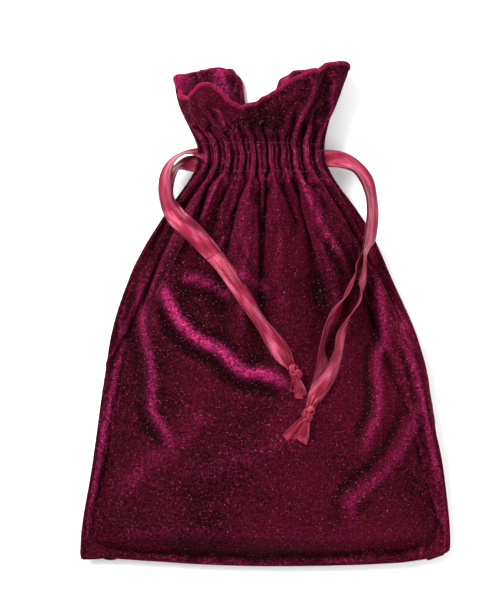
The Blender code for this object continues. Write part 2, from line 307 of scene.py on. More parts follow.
def velvet_material(velvet: Velvet) -> bpy.types.Material:
    """Velvet with brushed patches of random tone, fine light specks and a short pile, with a painted
    highlight on crests and painted shade in valleys.

    Args:
        velvet: the finish's values.

    Returns:
        The material.
    """
    nodes = Nodes(velvet.name)
    place = nodes.add("ShaderNodeTexCoord").outputs["Object"]
    black, white = (0.0, 0.0, 0.0), (1.0, 1.0, 1.0)
    patches = nodes.noise(place, velvet.patch_scale, 4.0)
    mottle = nodes.noise(place, velvet.mottle_scale, 3.0)
    grains = nodes.noise(place, velvet.speck_scale, 2.0)
    tone = nodes.value("ADD", nodes.value("MULTIPLY", patches, 0.4), nodes.value("MULTIPLY", mottle, 0.6))
    colour = nodes.ramp(tone, (0.38, velvet.deep), (0.60, velvet.lit))
    # Painted highlight: the mesh's crest attribute, broken up by grain, mixes the colour toward the
    # highlight colour.
    glow = nodes.add("ShaderNodeAttribute", attribute_name="glow").outputs["Fac"]
    streaks = nodes.value("ADD", grains, mottle)
    rough_grain = nodes.ramp(nodes.value("MULTIPLY", streaks, 0.5), (0.38, (0.10,) * 3), (0.60, white))
    highlight_mix = nodes.value("MULTIPLY", glow, rough_grain)
    colour = nodes.mix(highlight_mix, colour, velvet.bright)
    shade = nodes.add("ShaderNodeAttribute", attribute_name="shade").outputs["Fac"]
    # Painted shade: valleys are darkened toward a deeper copy of the velvet colour.
    valley_shade = tuple(part * 0.35 for part in velvet.deep)
    colour = nodes.mix(nodes.value("MULTIPLY", shade, 0.90), colour, valley_shade)
    # Fine light specks of the pile, made stronger under the painted highlight.
    specks = nodes.ramp(grains, (0.64, black), (0.74, white))
    speck_share = nodes.value("MULTIPLY", specks, nodes.value("ADD", glow, 0.45))
    colour = nodes.mix(speck_share, colour, velvet.speck)
    nodes.bump(grains, 0.5, 0.0004)
    return nodes.finish(
        base_color=colour,
        roughness=0.85,
        specular_ior_level=0.03,
        sheen_weight=velvet.sheen_weight,
        sheen_roughness=velvet.sheen_roughness,
        sheen_tint=(*velvet.sheen, 1.0),
    )


def satin_material(satin: Satin) -> bpy.types.Material:
    """Satin with fine cross ribs, read along the ribbon's own map, with painted reflection patches along it
    and painted shade toward its edges.

    Args:
        satin: the finish's values.

    Returns:
        The material.
    """
    nodes = Nodes(satin.name)
    place = nodes.add("ShaderNodeTexCoord").outputs["UV"]
    stretched = nodes.add("ShaderNodeMapping", vector=place)
    stretched.inputs["Scale"].default_value = (0.12, 1.0, 1.0)
    ribs = nodes.noise(stretched.outputs["Vector"], satin.rib_scale, 2.0)
    drawn = nodes.add("ShaderNodeMapping", vector=place)
    drawn.inputs["Scale"].default_value = (1.0, 0.05, 1.0)
    floats = nodes.noise(drawn.outputs["Vector"], satin.float_scale, 2.0)
    # Painted reflection: long patches along the ribbon from the dark through the light to the gloss colour.
    long_way = nodes.add("ShaderNodeMapping", vector=place)
    long_way.inputs["Scale"].default_value = (1.6, 0.45, 1.0)
    drift = nodes.noise(long_way.outputs["Vector"], 170.0, 2.0)
    colour = nodes.ramp(drift, (0.34, satin.dark), (0.50, satin.light), (0.68, satin.painted_gloss))
    # Painted shade: the ribbon darkens toward both edges.
    aside = nodes.value("ABSOLUTE", nodes.add("ShaderNodeSeparateXYZ", vector=place).outputs["X"], 0.0)
    to_edge = nodes.value("MULTIPLY", aside, 1.0 / satin.half_width)
    shade = nodes.ramp(to_edge, (0.55, (1.0,) * 3), (0.97, (0.50,) * 3))
    colour = nodes.mix(1.0, colour, shade, "MULTIPLY")
    shade = nodes.ramp(ribs, (0.30, (0.80,) * 3), (0.70, (1.0,) * 3))
    colour = nodes.mix(1.0, colour, shade, "MULTIPLY")
    shade = nodes.ramp(floats, (0.30, (0.72,) * 3), (0.68, (1.0,) * 3))
    colour = nodes.mix(1.0, colour, shade, "MULTIPLY")
    nodes.bump(nodes.value("ADD", ribs, floats), 0.4, 0.00010)
    return nodes.finish(
        base_color=colour,
        roughness=satin.roughness,
        specular_ior_level=0.42,
        specular_tint=(1.0, 0.30, 0.42, 1.0),
        sheen_weight=0.12,
        sheen_roughness=0.4,
        sheen_tint=(1.0, 0.25, 0.35, 1.0),
    )


def thread_material(thread: Thread) -> bpy.types.Material:
    """Sewing thread with a fine twist.

    Args:
        thread: the finish's values.

    Returns:
        The material.
    """
    nodes = Nodes(thread.name)
    place = nodes.add("ShaderNodeTexCoord").outputs["Object"]
    twist = nodes.noise(place, thread.twist_scale, 1.0)
    light = tuple(channel * 2.4 for channel in thread.colour)
    nodes.bump(twist, 0.4, 0.0001)
    colour = nodes.ramp(twist, (0.3, thread.colour), (0.7, light))
    return nodes.finish(base_color=colour, roughness=thread.roughness, specular_ior_level=0.15)


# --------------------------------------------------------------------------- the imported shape


class PackedForm:
    """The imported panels, measured from above and below.

    Whole sections are read up to sure_y; above it the lip is ragged.
    """

    sure_y: float = 0.0785

    def __init__(self) -> None:
        """Builds one ray tree for the front nodes and one for the back nodes."""
        self.trees = {side: self._tree(side) for side in Side}
        self.low_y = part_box("front_panel")[0].y
        self.shoulder_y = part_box("front_panel")[1].y
        self.casing = tuple(
            (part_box(f"front_casing_stitch_{row}")[0].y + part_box(f"front_casing_stitch_{row}")[1].y) / 2
            for row in ("lower", "upper")
        )
        self.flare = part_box("back_mouth")

    @staticmethod
    def _tree(side: Side) -> BVHTree:
        """The ray tree of one side's panel and mouth."""
        mesh = bmesh.new()
        for part in ("panel", "mouth"):
            mesh.from_mesh(frame["nodes"][f"{side.name.lower()}_{part}"].data)
        tree = BVHTree.FromBMesh(mesh)
        mesh.free()
        return tree

    def height(self, side: Side, x: float, y: float) -> float | None:
        """Height of a side's outer face.

        Args:
            side: which side.
            x: place across.
            y: place along.

        Returns:
            The height, or None off the pouch.
        """
        start = Vector((x, y, side.value * 1.0))
        hit = self.trees[side].ray_cast(start, Vector((0.0, 0.0, -side.value)))[0]
        return None if hit is None else hit.z

    def _edge(self, y: float, way: float) -> float:
        """The last x that the front covers at y, on the way that way points."""
        inside, outside = -0.001, way * 0.09
        for _ in range(18):
            middle = (inside + outside) / 2
            if self.height(Side.FRONT, middle, y) is None:
                outside = middle
            else:
                inside = middle
        return inside

    def section(self, y: float) -> tuple[float, float, float, float, float]:
        """The cross-section at y.

        Args:
            y: place along.

        Returns:
            Left edge, right edge, seam height, front crown and back depth.
        """
        near = self.shoulder_y
        clear = y if abs(y - near - 0.0002) > 0.0008 else near - 0.001
        clear = min(max(clear, self.low_y + 0.014), self.sure_y)
        left, right = self._edge(clear, -1.0), self._edge(clear, 1.0)
        middle = (left + right) / 2
        tiny = 0.00004
        edges = [self.height(side, x, clear) for side in Side for x in (left + tiny, right - tiny)]
        found = [edge for edge in edges if edge is not None]
        seam = sum(found) / len(found)
        top = self.height(Side.FRONT, middle, clear)
        under = self.height(Side.BACK, middle, clear)
        reach = min(max((y - self.sure_y) / 0.009, 0.0), 1.0)
        left += (self.flare[0].x - left) * reach
        right += (self.flare[1].x - right) * reach
        return left, right, seam, top - seam, seam - under


# --------------------------------------------------------------------------- the cloth


@dataclass(frozen=True)
class Pattern:
    """The flat cut of one panel, and how finely it is meshed."""

    width: float = 0.140
    columns: int = 100
    round_rows: int = 13
    body_rows: int = 68
    casing_rows: int = 7
    header_rows: int = 14
    round_depth: float = 0.014
    height: float = 0.204
    hem_height: float = 0.044

    @property
    def rows(self) -> int:
        """All rows from the bottom seam to the lip."""
        return self.round_rows + self.body_rows + self.casing_rows + self.header_rows


@dataclass(frozen=True)
class Gathers:
    """How the spare width folds: fine puckers at the casing, and broad folds below them."""

    tight: float = 23.0
    fine: float = 12.0
    broad: float = 5.0
    fine_from: float = 0.014
    fine_full: float = 0.050
    drift: float = 0.9
    front_lip: tuple[Point, ...] = (
        (0.00, 0.0845), (0.08, 0.0815), (0.15, 0.0811), (0.23, 0.0838), (0.275, 0.0842),
        (0.32, 0.0812), (0.365, 0.0778), (0.42, 0.0768), (0.48, 0.0783), (0.56, 0.0812),
        (0.66, 0.0862), (0.73, 0.0889), (0.78, 0.0908), (0.85, 0.0932), (0.92, 0.0936), (1.00, 0.0915),
    )
    back_lip: tuple[Point, ...] = (
        (0.00, 0.0845), (0.05, 0.0895), (0.12, 0.0912), (0.22, 0.0922), (0.32, 0.0926),
        (0.365, 0.0912), (0.385, 0.0880), (0.405, 0.0790), (0.50, 0.0762), (0.59, 0.0785),
        (0.61, 0.0870), (0.64, 0.0895), (0.75, 0.0922), (0.90, 0.0934), (1.00, 0.0915),
    )
    front_waves: tuple[Point, ...] = (
        (0.00, 0.0), (0.12, -0.0010), (0.26, 0.0034), (0.38, -0.0032), (0.50, -0.0044),
        (0.62, -0.0008), (0.725, 0.0036), (0.775, 0.0000), (0.82, -0.0026), (0.90, 0.0018),
        (1.00, 0.0),
    )
    back_waves: tuple[Point, ...] = (
        (0.00, 0.0), (0.10, 0.0018), (0.18, -0.0038), (0.26, 0.0018), (0.33, -0.0038), (0.41, 0.0012),
        (0.50, -0.0010), (0.60, 0.0012), (0.68, -0.0038), (0.77, 0.0018), (0.86, -0.0034),
        (0.94, 0.0012), (1.00, 0.0),
    )
    bottom_bow: tuple[Point, ...] = (
        (0.00, 0.0004), (0.06, 0.0014), (0.20, 0.0010), (0.38, 0.0), (0.80, 0.0), (0.93, 0.0010),
        (1.00, 0.0038),
    )
    most: float = 0.0062
    header_lift: float = 0.004
    seam_turn: float = 0.30


@dataclass(frozen=True)
class Drape:
    """A soft fold on the front, in millimetres: a ridge along a line, with a crease on its right.

    Its crest gets a painted highlight, of the strength given last.
    """

    line: tuple[Point, ...]
    width: float
    height: float
    crease: float = 0.5
    # Strength of the painted highlight on the crest.
    glow: float = 0.5


# The folds of the body, its hems and seams, then the header and the neck.
DRAPES = (
    Drape(
        ((-38.5, 13.0), (-36.9, 7.0), (-33.2, -0.9), (-29.1, -6.2), (-23.5, -10.5), (-16.5, -14.0),
         (-11.8, -19.0), (-6.6, -22.3), (-1.3, -22.6), (6.6, -25.6), (14.9, -31.9)),
        3.1, 2.5, 1.5, 1.7,
    ),
    Drape(((-32.0, 13.6), (-25.0, 12.4), (-18.6, 9.9), (-12.0, 4.0)), 2.6, 1.2, 0.6, 0.7),
    Drape(((-13.0, 15.6), (-7.0, 13.6), (-2.4, 11.4), (2.0, 7.0)), 2.6, 1.0, 0.6, 0.6),
    Drape(
        ((-41.0, 20.0), (-45.9, 7.7), (-45.9, -4.7), (-42.2, -23.1), (-42.2, -36.2), (-36.2, -46.0),
         (-33.2, -58.0)),
        2.7, 1.5, 1.0, 0.62,
    ),
    Drape(
        ((41.4, 18.0), (43.7, 5.1), (44.8, -10.3), (42.2, -17.4), (42.9, -35.1), (39.9, -44.0),
         (36.0, -56.0)),
        2.6, 1.5, 1.0, 0.62,
    ),
    Drape(
        ((58.7, -28.0), (54.2, -44.8), (46.3, -57.6), (37.7, -65.4), (32.1, -71.8), (35.7, -84.0)),
        3.4, 1.2, 0.9, 0.38,
    ),
    Drape(
        ((-62.0, -84.6), (-40.0, -82.6), (-10.0, -83.2), (20.0, -84.6), (50.0, -83.4), (64.0, -84.4)),
        3.0, 0.7, 0.5, 0.14,
    ),
    Drape(
        ((30.0, -10.0), (22.0, -30.0), (8.0, -46.0), (-14.0, -56.0), (-34.0, -60.0)),
        7.0, 1.2, 0.7, 0.12,
    ),
    Drape(((-22.0, -34.0), (-30.0, -46.0), (-46.0, -58.0), (-58.0, -72.0)), 6.0, 1.0, 0.6, 0.15),
    Drape(
        ((49.0, 6.0), (54.5, -14.0), (58.9, -31.3), (63.6, -53.1), (66.3, -70.0)),
        1.7, 0.9, 0.7, 0.75,
    ),
    Drape(
        ((-49.5, 6.0), (-56.0, -22.0), (-60.5, -44.0), (-63.6, -62.0), (-66.0, -84.0)),
        1.4, 0.7, 0.4, 0.8,
    ),
    Drape(((17.5, 88.5), (18.0, 82.5), (15.5, 76.5), (12.5, 70.5), (10.0, 64.5)), 1.3, 0.8, 0.9, 0.75),
    Drape(((26.6, 88.0), (25.2, 81.0), (25.0, 74.0), (22.0, 67.0)), 1.3, 0.7, 0.8, 0.6),
    Drape(((-18.0, 77.0), (-15.4, 71.0), (-12.6, 65.0), (-10.5, 58.0)), 1.2, 0.7, 0.8, 0.45),
    Drape(((12.2, 54.0), (15.0, 46.0), (19.5, 36.5), (24.5, 28.0), (31.5, 18.0)), 1.5, 1.0, 0.9, 0.95),
    Drape(((-17.0, 51.5), (-20.0, 44.0), (-24.0, 36.5), (-30.0, 30.0)), 1.4, 0.8, 0.7, 0.6),
    Drape(((-10.0, 50.0), (-11.8, 36.0), (-15.0, 28.0), (-19.0, 24.0)), 1.4, 0.8, 0.7, 0.55),
    Drape(((-5.0, 51.0), (-3.5, 38.0), (-3.2, 24.0), (-3.8, 14.0)), 1.3, 0.8, 0.6, 0.55),
)

# Painted highlights and painted shade on the folds inside the back of the header: (middle across, reach,
# strength).
INSIDE_HIGHLIGHT = ((0.06, 0.06, 0.72), (0.30, 0.035, 0.60), (0.64, 0.04, 0.72), (0.90, 0.05, 0.30))
INSIDE_SHADE = ((0.16, 0.05, 0.95), (0.23, 0.04, 0.90), (0.72, 0.05, 0.90), (0.80, 0.05, 0.80))

# The unevenness of soft cloth on the body, and of the gathers in the casing: (fineness, height).
CRUMPLES = ((38.0, 0.0011), (95.0, 0.00045))
PUCKERS = ((620.0, 330.0, 9.0), 0.0006)

# Where crests get a painted highlight and valleys painted shade: (reach in points, height, brightness,
# darkness).
RELIEF = ((1, 0.00026, 0.20, 0.5), (2, 0.00055, 0.08, 0.9), (5, 0.0020, 0.02, 0.5))


@dataclass(frozen=True)
class Settling:
    """How the cloth is let fall: at ten times its size, where the solver works best."""

    scale: float = 10.0
    frames: int = 28
    quality: int = 5
    mass: float = 0.25
    tension: float = 18.0
    shear: float = 6.0
    bending: float = 0.6
    pressure: float = 1.6
    gravity: float = 0.5
    body_hold: float = 0.012
    header_hold: float = 0.10
    seam_hold: float = 0.25
    hold_stiffness: float = 6.0
    air_damping: float = 4.0
    damping: float = 8.0
    bending_damping: float = 2.0
    table_gap: float = 0.006
    most_move: float = 0.008


class Cloth:
    """The pouch's cloth: both panels, sewn at the sides and the bottom, settled as one."""

    crest_share: float = 0.62
    seam_calm: int = 4
    seam_follow: tuple[float, ...] = (0.5, 0.8, 0.6, 0.4, 0.2)
    least_z: float = 0.0005
    stroke_stops: int = 90

    def __init__(self, form: PackedForm) -> None:
        """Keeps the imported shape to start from.

        Args:
            form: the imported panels.
        """
        self.form = form
        self.pattern = Pattern()
        self.gathers = Gathers()
        self.settling = Settling()
        self.across: Array
        self.row: Array
        self.side: Array
        self.points: Array
        self.mesh: bpy.types.Mesh

    def build(self) -> None:
        """Cuts, folds and settles the cloth."""
        self._cut()
        start, flat = self._folded()
        self.points = start
        self.points = self._settled(start, flat)
        self._calm_seams()
        self._drape_front()
        self._crumple()
        self._trim_outline()
        self.points[:, 2] = np.maximum(self.points[:, 2], self.least_z)
        self._paint_highlight_and_shade()

    def _cut(self) -> None:
        """Makes the two panels as flat grids, sewn where they meet."""
        pattern = self.pattern
        mesh = bmesh.new()
        bmesh.ops.create_grid(mesh, x_segments=pattern.columns, y_segments=pattern.rows, size=1.0)
        copy = bmesh.ops.duplicate(mesh, geom=mesh.verts[:] + mesh.edges[:] + mesh.faces[:])["geom"]
        back = [item for item in copy if isinstance(item, bmesh.types.BMVert)]
        turned = [item for item in copy if isinstance(item, bmesh.types.BMFace)]
        bmesh.ops.reverse_faces(mesh, faces=turned)
        bmesh.ops.translate(mesh, verts=mesh.verts, vec=(0.0, 0.0, 1.0))
        bmesh.ops.translate(mesh, verts=back, vec=(0.0, 0.0, -2.0))
        for vert in mesh.verts:
            if abs(vert.co.x) > 0.9999 or vert.co.y < -0.9999:
                vert.co.z = 0.0
        bmesh.ops.remove_doubles(mesh, verts=mesh.verts, dist=1e-5)
        self.mesh = bpy.data.meshes.new("cloth_pattern")
        mesh.to_mesh(self.mesh)
        mesh.free()
        places = read_points(self.mesh)
        self.across = (places[:, 0] + 1.0) / 2.0
        self.row = np.rint((places[:, 1] + 1.0) / 2.0 * pattern.rows).astype(int)
        self.side = places[:, 2]

    def _lip(self, side: Side, across: Array) -> Array:
        """The lip's y on one side, across the header."""
        lip = self.gathers.front_lip if side is Side.FRONT else self.gathers.back_lip
        places, values = zip(*lip)
        return smooth_read(values, places, across)

    def _row_places(self) -> tuple[Array, Array]:
        """Each row's y below the header, and its rise from the bottom seam."""
        pattern, form = self.pattern, self.form
        turn = np.linspace(0.0, math.pi / 2, pattern.round_rows + 1)
        low = form.low_y + pattern.round_depth * (1.0 - np.cos(turn))
        body = np.linspace(low[-1], form.casing[0], pattern.body_rows + 1)[1:]
        casing = np.linspace(form.casing[0], form.casing[1], pattern.casing_rows + 1)[1:]
        y = np.concatenate([low, body, casing])
        rise = np.ones(len(y))
        rise[: len(turn)] = np.sin(turn)
        return y, rise

    def _folded(self) -> tuple[Array, Array]:
        """The start shape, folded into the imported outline, and the flat pattern."""
        pattern, gathers = self.pattern, self.gathers
        rows_y, rises = self._row_places()
        header = pattern.header_rows
        start = np.zeros((len(self.across), 3))
        base = np.zeros_like(start)
        for side in Side:
            mine = (self.side * side.value >= 0.0) if side is Side.FRONT else self.side < 0.0
            lip = self._lip(side, np.linspace(0.0, 1.0, pattern.columns + 1))
            for row in range(pattern.rows + 1):
                chosen = np.flatnonzero(mine & (self.row == row))
                if not len(chosen):
                    continue
                part = max(0, row - (pattern.rows - header)) / header
                y = rows_y[min(row, len(rows_y) - 1)]
                mean_y = y + (float(lip.mean()) - y) * part
                rise = rises[min(row, len(rises) - 1)]
                curve, normal, length = self._section_curve(side, mean_y, rise)
                order = self.across[chosen]
                columns = order * pattern.columns
                share = curve[:, 3]
                place = np.stack([np.interp(order, share, curve[:, axis]) for axis in range(3)], 1)
                facing = np.stack([np.interp(order, share, normal[:, axis]) for axis in range(3)], 1)
                place[:, 1] = y + (lip[np.rint(columns).astype(int)] - y) * part
                places, bow = zip(*gathers.bottom_bow)
                place[:, 1] += smooth_read(bow, places, order) * (1.0 - rise) ** 0.5
                base[chosen] = place
                fold = self._fold(side, order, mean_y, length, part)
                place = place + facing * fold[:, None]
                place[:, 2] = np.maximum(place[:, 2], 0.0006)
                start[chosen] = place
        return start, self._flat(base)

    def _section_curve(self, side: Side, y: float, rise: float) -> tuple[Array, Array, float]:
        """One side's smooth cross-section.

        Args:
            side: which side.
            y: place along.
            rise: share of the full height, below 1 near the bottom seam.

        Returns:
            Points with their share of the length, outward normals, and the length.
        """
        left, right, seam, crown, depth = self.form.section(y)
        turned = self.gathers.seam_turn * bell(y, -0.034, 0.034)
        if side is Side.FRONT:
            angle = np.linspace(math.pi, turned, 241)
        else:
            angle = np.linspace(-math.pi, turned, 241)
        lift = self.gathers.header_lift * np.clip((y - 0.066) / 0.02, 0.0, 1.0)
        x = (left + right) / 2 + (right - left) / 2 * np.cos(angle)
        wide = 1.25 if y < self.form.shoulder_y else 1.0
        below = -np.minimum(np.abs(np.sin(angle)) * wide, 1.0) * depth
        z = seam + rise * np.where(np.sin(angle) > 0, np.sin(angle) * (crown + lift), below)
        step = np.hypot(np.diff(x), np.diff(z))
        share = np.concatenate([[0.0], np.cumsum(step)])
        length = float(share[-1])
        share /= max(length, 1e-9)
        points = np.stack([x, np.full_like(x, y), z, share], 1)
        along = np.stack([np.gradient(x), np.zeros_like(x), np.gradient(z)], 1)
        along /= np.maximum(np.linalg.norm(along, axis=1, keepdims=True), 1e-9)
        normal = np.stack([-along[:, 2], np.zeros_like(x), along[:, 0]], 1) * side.value
        return points, normal, length

    def _fold(self, side: Side, across: Array, y: float, length: float, header: float) -> Array:
        """How far the folds stand out at one row, so that the pattern's width is used up.

        Args:
            side: which side.
            across: share of the width, 0 at the left seam.
            y: place along.
            length: the smooth section's length.
            header: 0 at the casing and below, 1 at the lip.

        Returns:
            The outward offsets.
        """
        gathers = self.gathers
        ratio = max(self.pattern.width / max(length, 1e-6), 1.0)
        spare = 2.0 * (ratio**2 - 1.0)
        fine = smoothstep(y, gathers.fine_from, gathers.fine_full)
        fine *= 1.0 - 0.92 * smoothstep(header, 0.0, 0.6)
        low = self.form.casing[0]
        tight = smoothstep(y, low - 0.004, low + 0.002)
        tight *= 0.85 - 0.85 * smoothstep(header, 0.0, 0.4)
        turns = gathers.drift * (
            np.sin(across * 9.0 + 1.3 * side.value)
            + 0.6 * np.sin(across * 21.0 + 2.1 + side.value)
            + 0.5 * np.sin(y * 620.0 + across * 17.0) * smoothstep(y, low - 0.003, low)
        )
        uneven = 1.0 + 0.30 * np.sin(across * 31.0 + 4.0 * side.value) * np.sin(across * 13.0)
        edge = np.clip(np.minimum(across, 1.0 - across) / 0.03, 0.0, 1.0)
        offset = np.zeros_like(across)
        slack = smoothstep(spare, 0.0, 0.9)
        counts = (
            (gathers.tight, fine * tight),
            (gathers.fine, fine * (1.0 - tight)),
            (gathers.broad, (1.0 - fine) * float(header == 0.0)),
        )
        for count, share in counts:
            if share <= 0.0:
                continue
            wave = 2.0 * math.pi * count / length
            size = min(math.sqrt(spare * share) / wave, gathers.most) * slack
            swing = np.cos(2.0 * math.pi * count * across + turns * (1.0 if count > 8 else 1.6))
            offset += size * swing * uneven
        places, waves = zip(*(gathers.front_waves if side is Side.FRONT else gathers.back_waves))
        offset += smooth_read(waves, places, across) * smoothstep(header, 0.0, 0.7)
        return offset * edge

    def _flat(self, base: Array) -> Array:
        """The flat pattern: full width across, and the smooth shape's own length along."""
        pattern = self.pattern
        flat = np.zeros_like(base)
        flat[:, 0] = self.across * pattern.width
        flat[:, 2] = self.side * 0.0005
        column = np.rint(self.across * pattern.columns).astype(int)
        for side in (1.0, -1.0):
            for place in range(pattern.columns + 1):
                mine = np.flatnonzero((column == place) & ((self.side == side) | (self.side == 0.0)))
                mine = mine[np.argsort(self.row[mine])]
                steps = np.linalg.norm(np.diff(base[mine], axis=0), axis=1)
                own = mine if side > 0 else mine[self.side[mine] < 0]
                along = np.concatenate([[0.0], np.cumsum(steps)])
                flat[own, 1] = along[len(mine) - len(own) :]
        return flat

    def _settled(self, start: Array, flat: Array) -> Array:
        """Lets the folded cloth settle on the table, with its casing held.

        Args:
            start: the folded shape.
            flat: the flat pattern, which gives the cloth its size.

        Returns:
            The settled points.
        """
        settling = self.settling
        scene = bpy.context.scene
        data = self.mesh.copy()
        write_points(data, start * settling.scale)
        cloth = bpy.data.objects.new("cloth_trial", data)
        scene.collection.objects.link(cloth)
        cloth.shape_key_add(name="Basis")
        cut = cloth.shape_key_add(name="cut")
        cut.data.foreach_set("co", (flat * settling.scale).ravel())
        hold = cloth.vertex_groups.new(name="hold")
        for index, weight in enumerate(self._hold_weights(start)):
            hold.add([index], float(weight), "REPLACE")
        table = floor_trial(settling.scale)
        modifier = cloth.modifiers.new("settle", "CLOTH")
        self._tune(modifier, cut)
        scene.frame_start, scene.frame_end = 1, settling.frames
        modifier.point_cache.frame_start, modifier.point_cache.frame_end = 1, settling.frames
        for number in range(1, settling.frames + 1):
            scene.frame_set(number)
        graph = bpy.context.evaluated_depsgraph_get()
        points = read_points(cloth.evaluated_get(graph).data) / settling.scale
        scene.frame_set(1)
        for thing in (cloth, table):
            bpy.data.objects.remove(thing, do_unlink=True)
        move = points - start
        far = np.linalg.norm(move, axis=1, keepdims=True)
        LOG.info("cloth settled: moved %.1f mm at most", far.max() / MM)
        points = start + move * np.minimum(1.0, settling.most_move / np.maximum(far, 1e-9))
        points[:, 2] = np.maximum(points[:, 2], self.least_z)
        return points

    def _hold_weights(self, start: Array) -> Array:
        """How firmly each point is held: fast in the casing, loosely elsewhere."""
        low, high = self.form.casing
        y = start[:, 1]
        casing = smoothstep(y, low - 0.002, low) * (1.0 - smoothstep(y, high, high + 0.002))
        header = smoothstep(y, high, high + 0.006) * self.settling.header_hold
        seam = (self.side == 0.0) * self.settling.seam_hold
        body = np.full_like(y, self.settling.body_hold)
        return np.clip(np.maximum.reduce([casing, header, seam, body]), 0, 1)

    def _tune(self, modifier: bpy.types.Modifier, cut: bpy.types.ShapeKey) -> None:
        """Sets the cloth solver up.

        Args:
            modifier: the Cloth modifier.
            cut: the shape key of the flat pattern.
        """
        settling = self.settling
        values = modifier.settings
        values.quality = settling.quality
        values.mass = settling.mass
        values.tension_stiffness = settling.tension
        values.compression_stiffness = settling.tension
        values.shear_stiffness = settling.shear
        values.bending_stiffness = settling.bending
        values.air_damping = settling.air_damping
        values.tension_damping = settling.damping
        values.compression_damping = settling.damping
        values.shear_damping = settling.damping
        values.bending_damping = settling.bending_damping
        values.vertex_group_mass = "hold"
        values.pin_stiffness = settling.hold_stiffness
        values.rest_shape_key = cut
        values.use_pressure = True
        values.uniform_pressure_force = settling.pressure
        values.effector_weights.gravity = settling.gravity
        modifier.collision_settings.distance_min = settling.table_gap
        modifier.collision_settings.use_self_collision = False

    def grid(self, side: Side) -> Array:
        """One side's point numbers, a row for each row of the pattern."""
        column = np.rint(self.across * self.pattern.columns).astype(int)
        mine = np.flatnonzero(self.side * side.value >= -0.5)
        order = np.lexsort((column[mine], self.row[mine]))
        return mine[order].reshape(self.pattern.rows + 1, self.pattern.columns + 1)

    def normals(self) -> Array:
        """The cloth's point normals."""
        write_points(self.mesh, self.points)
        normals = np.zeros(len(self.points) * 3)
        self.mesh.vertex_normals.foreach_get("vector", normals)
        return normals.reshape(-1, 3)

    def _calm_seams(self) -> None:
        """Takes the kinks out of the side seams, and lets the columns beside them follow."""
        for side in Side:
            grid = self.grid(side)
            for edge, inward in ((0, 1), (-1, -1)):
                seam = self.points[grid[:, edge]]
                calm = np.stack([moving_mean(seam[:, axis], self.seam_calm) for axis in range(3)], 1)
                change = (calm - seam) * (self.side[grid[:, edge]] == 0.0)[:, None]
                for step, share in enumerate(self.seam_follow):
                    self.points[grid[:, edge + inward * step]] += change * share

    def _trim_outline(self) -> None:
        """Holds the cloth inside a calm outline at the sides and along the bottom."""
        column = np.rint(self.across * self.pattern.columns).astype(int)
        for axis, sign, line in ((0, -1.0, self.row), (0, 1.0, self.row), (1, -1.0, column)):
            values = self.points[:, axis] * sign
            reach = np.full(line.max() + 1, -1.0)
            np.maximum.at(reach, line, values)
            calm = moving_mean(reach, self.seam_calm)
            self.points[:, axis] = np.minimum(values, calm[line]) * sign

    def _drape_front(self) -> None:
        """Lifts the front along its soft folds, and notes a painted highlight along their crests."""
        self.glow = np.zeros(len(self.points))
        grid = self.grid(Side.FRONT)[1:, 1:-1].ravel()
        normals = self.normals()[grid]
        flat = self.points[grid][:, :2]
        offset, glow = np.zeros(len(grid)), np.zeros(len(grid))
        for drape in DRAPES:
            places = np.arange(len(drape.line))
            stops = np.linspace(0.0, len(drape.line) - 1.0, self.stroke_stops)
            line = np.stack([smooth_read(values, places, stops) for values in zip(*drape.line)], 1) * MM
            gap = flat[:, None, :] - line[None, :, :]
            near = np.argmin((gap**2).sum(2), axis=1)
            along = np.gradient(line, axis=0)[near]
            along /= np.linalg.norm(along, axis=1, keepdims=True)
            beside = gap[np.arange(len(near)), near]
            past = np.abs((beside * along).sum(1))
            right = beside[:, 0] * along[:, 1] - beside[:, 1] * along[:, 0]
            width = drape.width * MM
            run = near / (self.stroke_stops - 1.0)
            fade = smoothstep(run, 0.0, 0.16) * (1.0 - smoothstep(run, 0.80, 1.0))
            fade *= np.exp(-((past / width) ** 2))
            offset += drape.height * MM * fade * np.exp(-((right / width) ** 2))
            offset -= drape.crease * MM * fade * np.exp(-(((right - 1.7 * width) / (0.8 * width)) ** 2))
            crest = np.exp(-(((right + 0.1 * width) / (0.5 * width)) ** 2))
            glow = np.maximum(glow, drape.glow * self.crest_share * fade * crest)
        self.points[grid, 2] += np.maximum(normals[:, 2], 0.0) * offset
        self.glow[grid] = glow

    def _crumple(self) -> None:
        """Adds the slight unevenness of soft cloth to the body."""
        normals = self.normals()
        y, panel = self.points[:, 1], np.abs(self.side)
        fade = smoothstep(y, self.form.low_y + 0.002, self.form.low_y + 0.03)
        fade *= (1.0 - smoothstep(y, 0.02, 0.05)) * panel
        for scale, size in CRUMPLES:
            waves = np.array([noise.noise(Vector(point) * scale) for point in self.points])
            self.points[:, 2] += normals[:, 2] * waves * fade * size
        low, high = self.form.casing
        fade = smoothstep(y, low - 0.007, low) * (1.0 - smoothstep(y, high, high + 0.008))
        fineness, size = PUCKERS
        places = np.stack([self.points[:, 0], y, self.side], 1) * fineness
        waves = np.array([noise.noise(Vector(place)) for place in places])
        self.points[:, 2] += normals[:, 2] * waves * fade * panel * size

    def _paint_header_highlight_and_shade(self) -> None:
        """Notes painted shade in the hollow of the header's front, and painted highlights and painted shade
        on the folds inside its back.
        """
        x, y = self.points[:, 0], self.points[:, 1]
        hollow = np.exp(-(((x + 0.0005) / 0.0085) ** 2) - ((y - 0.0705) / 0.0075) ** 2)
        self.shade = np.maximum(self.shade, hollow * (self.side > 0.0))
        header = smoothstep(y, 0.068, 0.076)
        inside = header * (self.side < 0.0)
        for middle, reach, size in INSIDE_HIGHLIGHT:
            self.glow = np.maximum(self.glow, size * inside * bell(self.across, middle, reach))
        for middle, reach, size in INSIDE_SHADE:
            self.shade = np.maximum(self.shade, size * inside * bell(self.across, middle, reach))

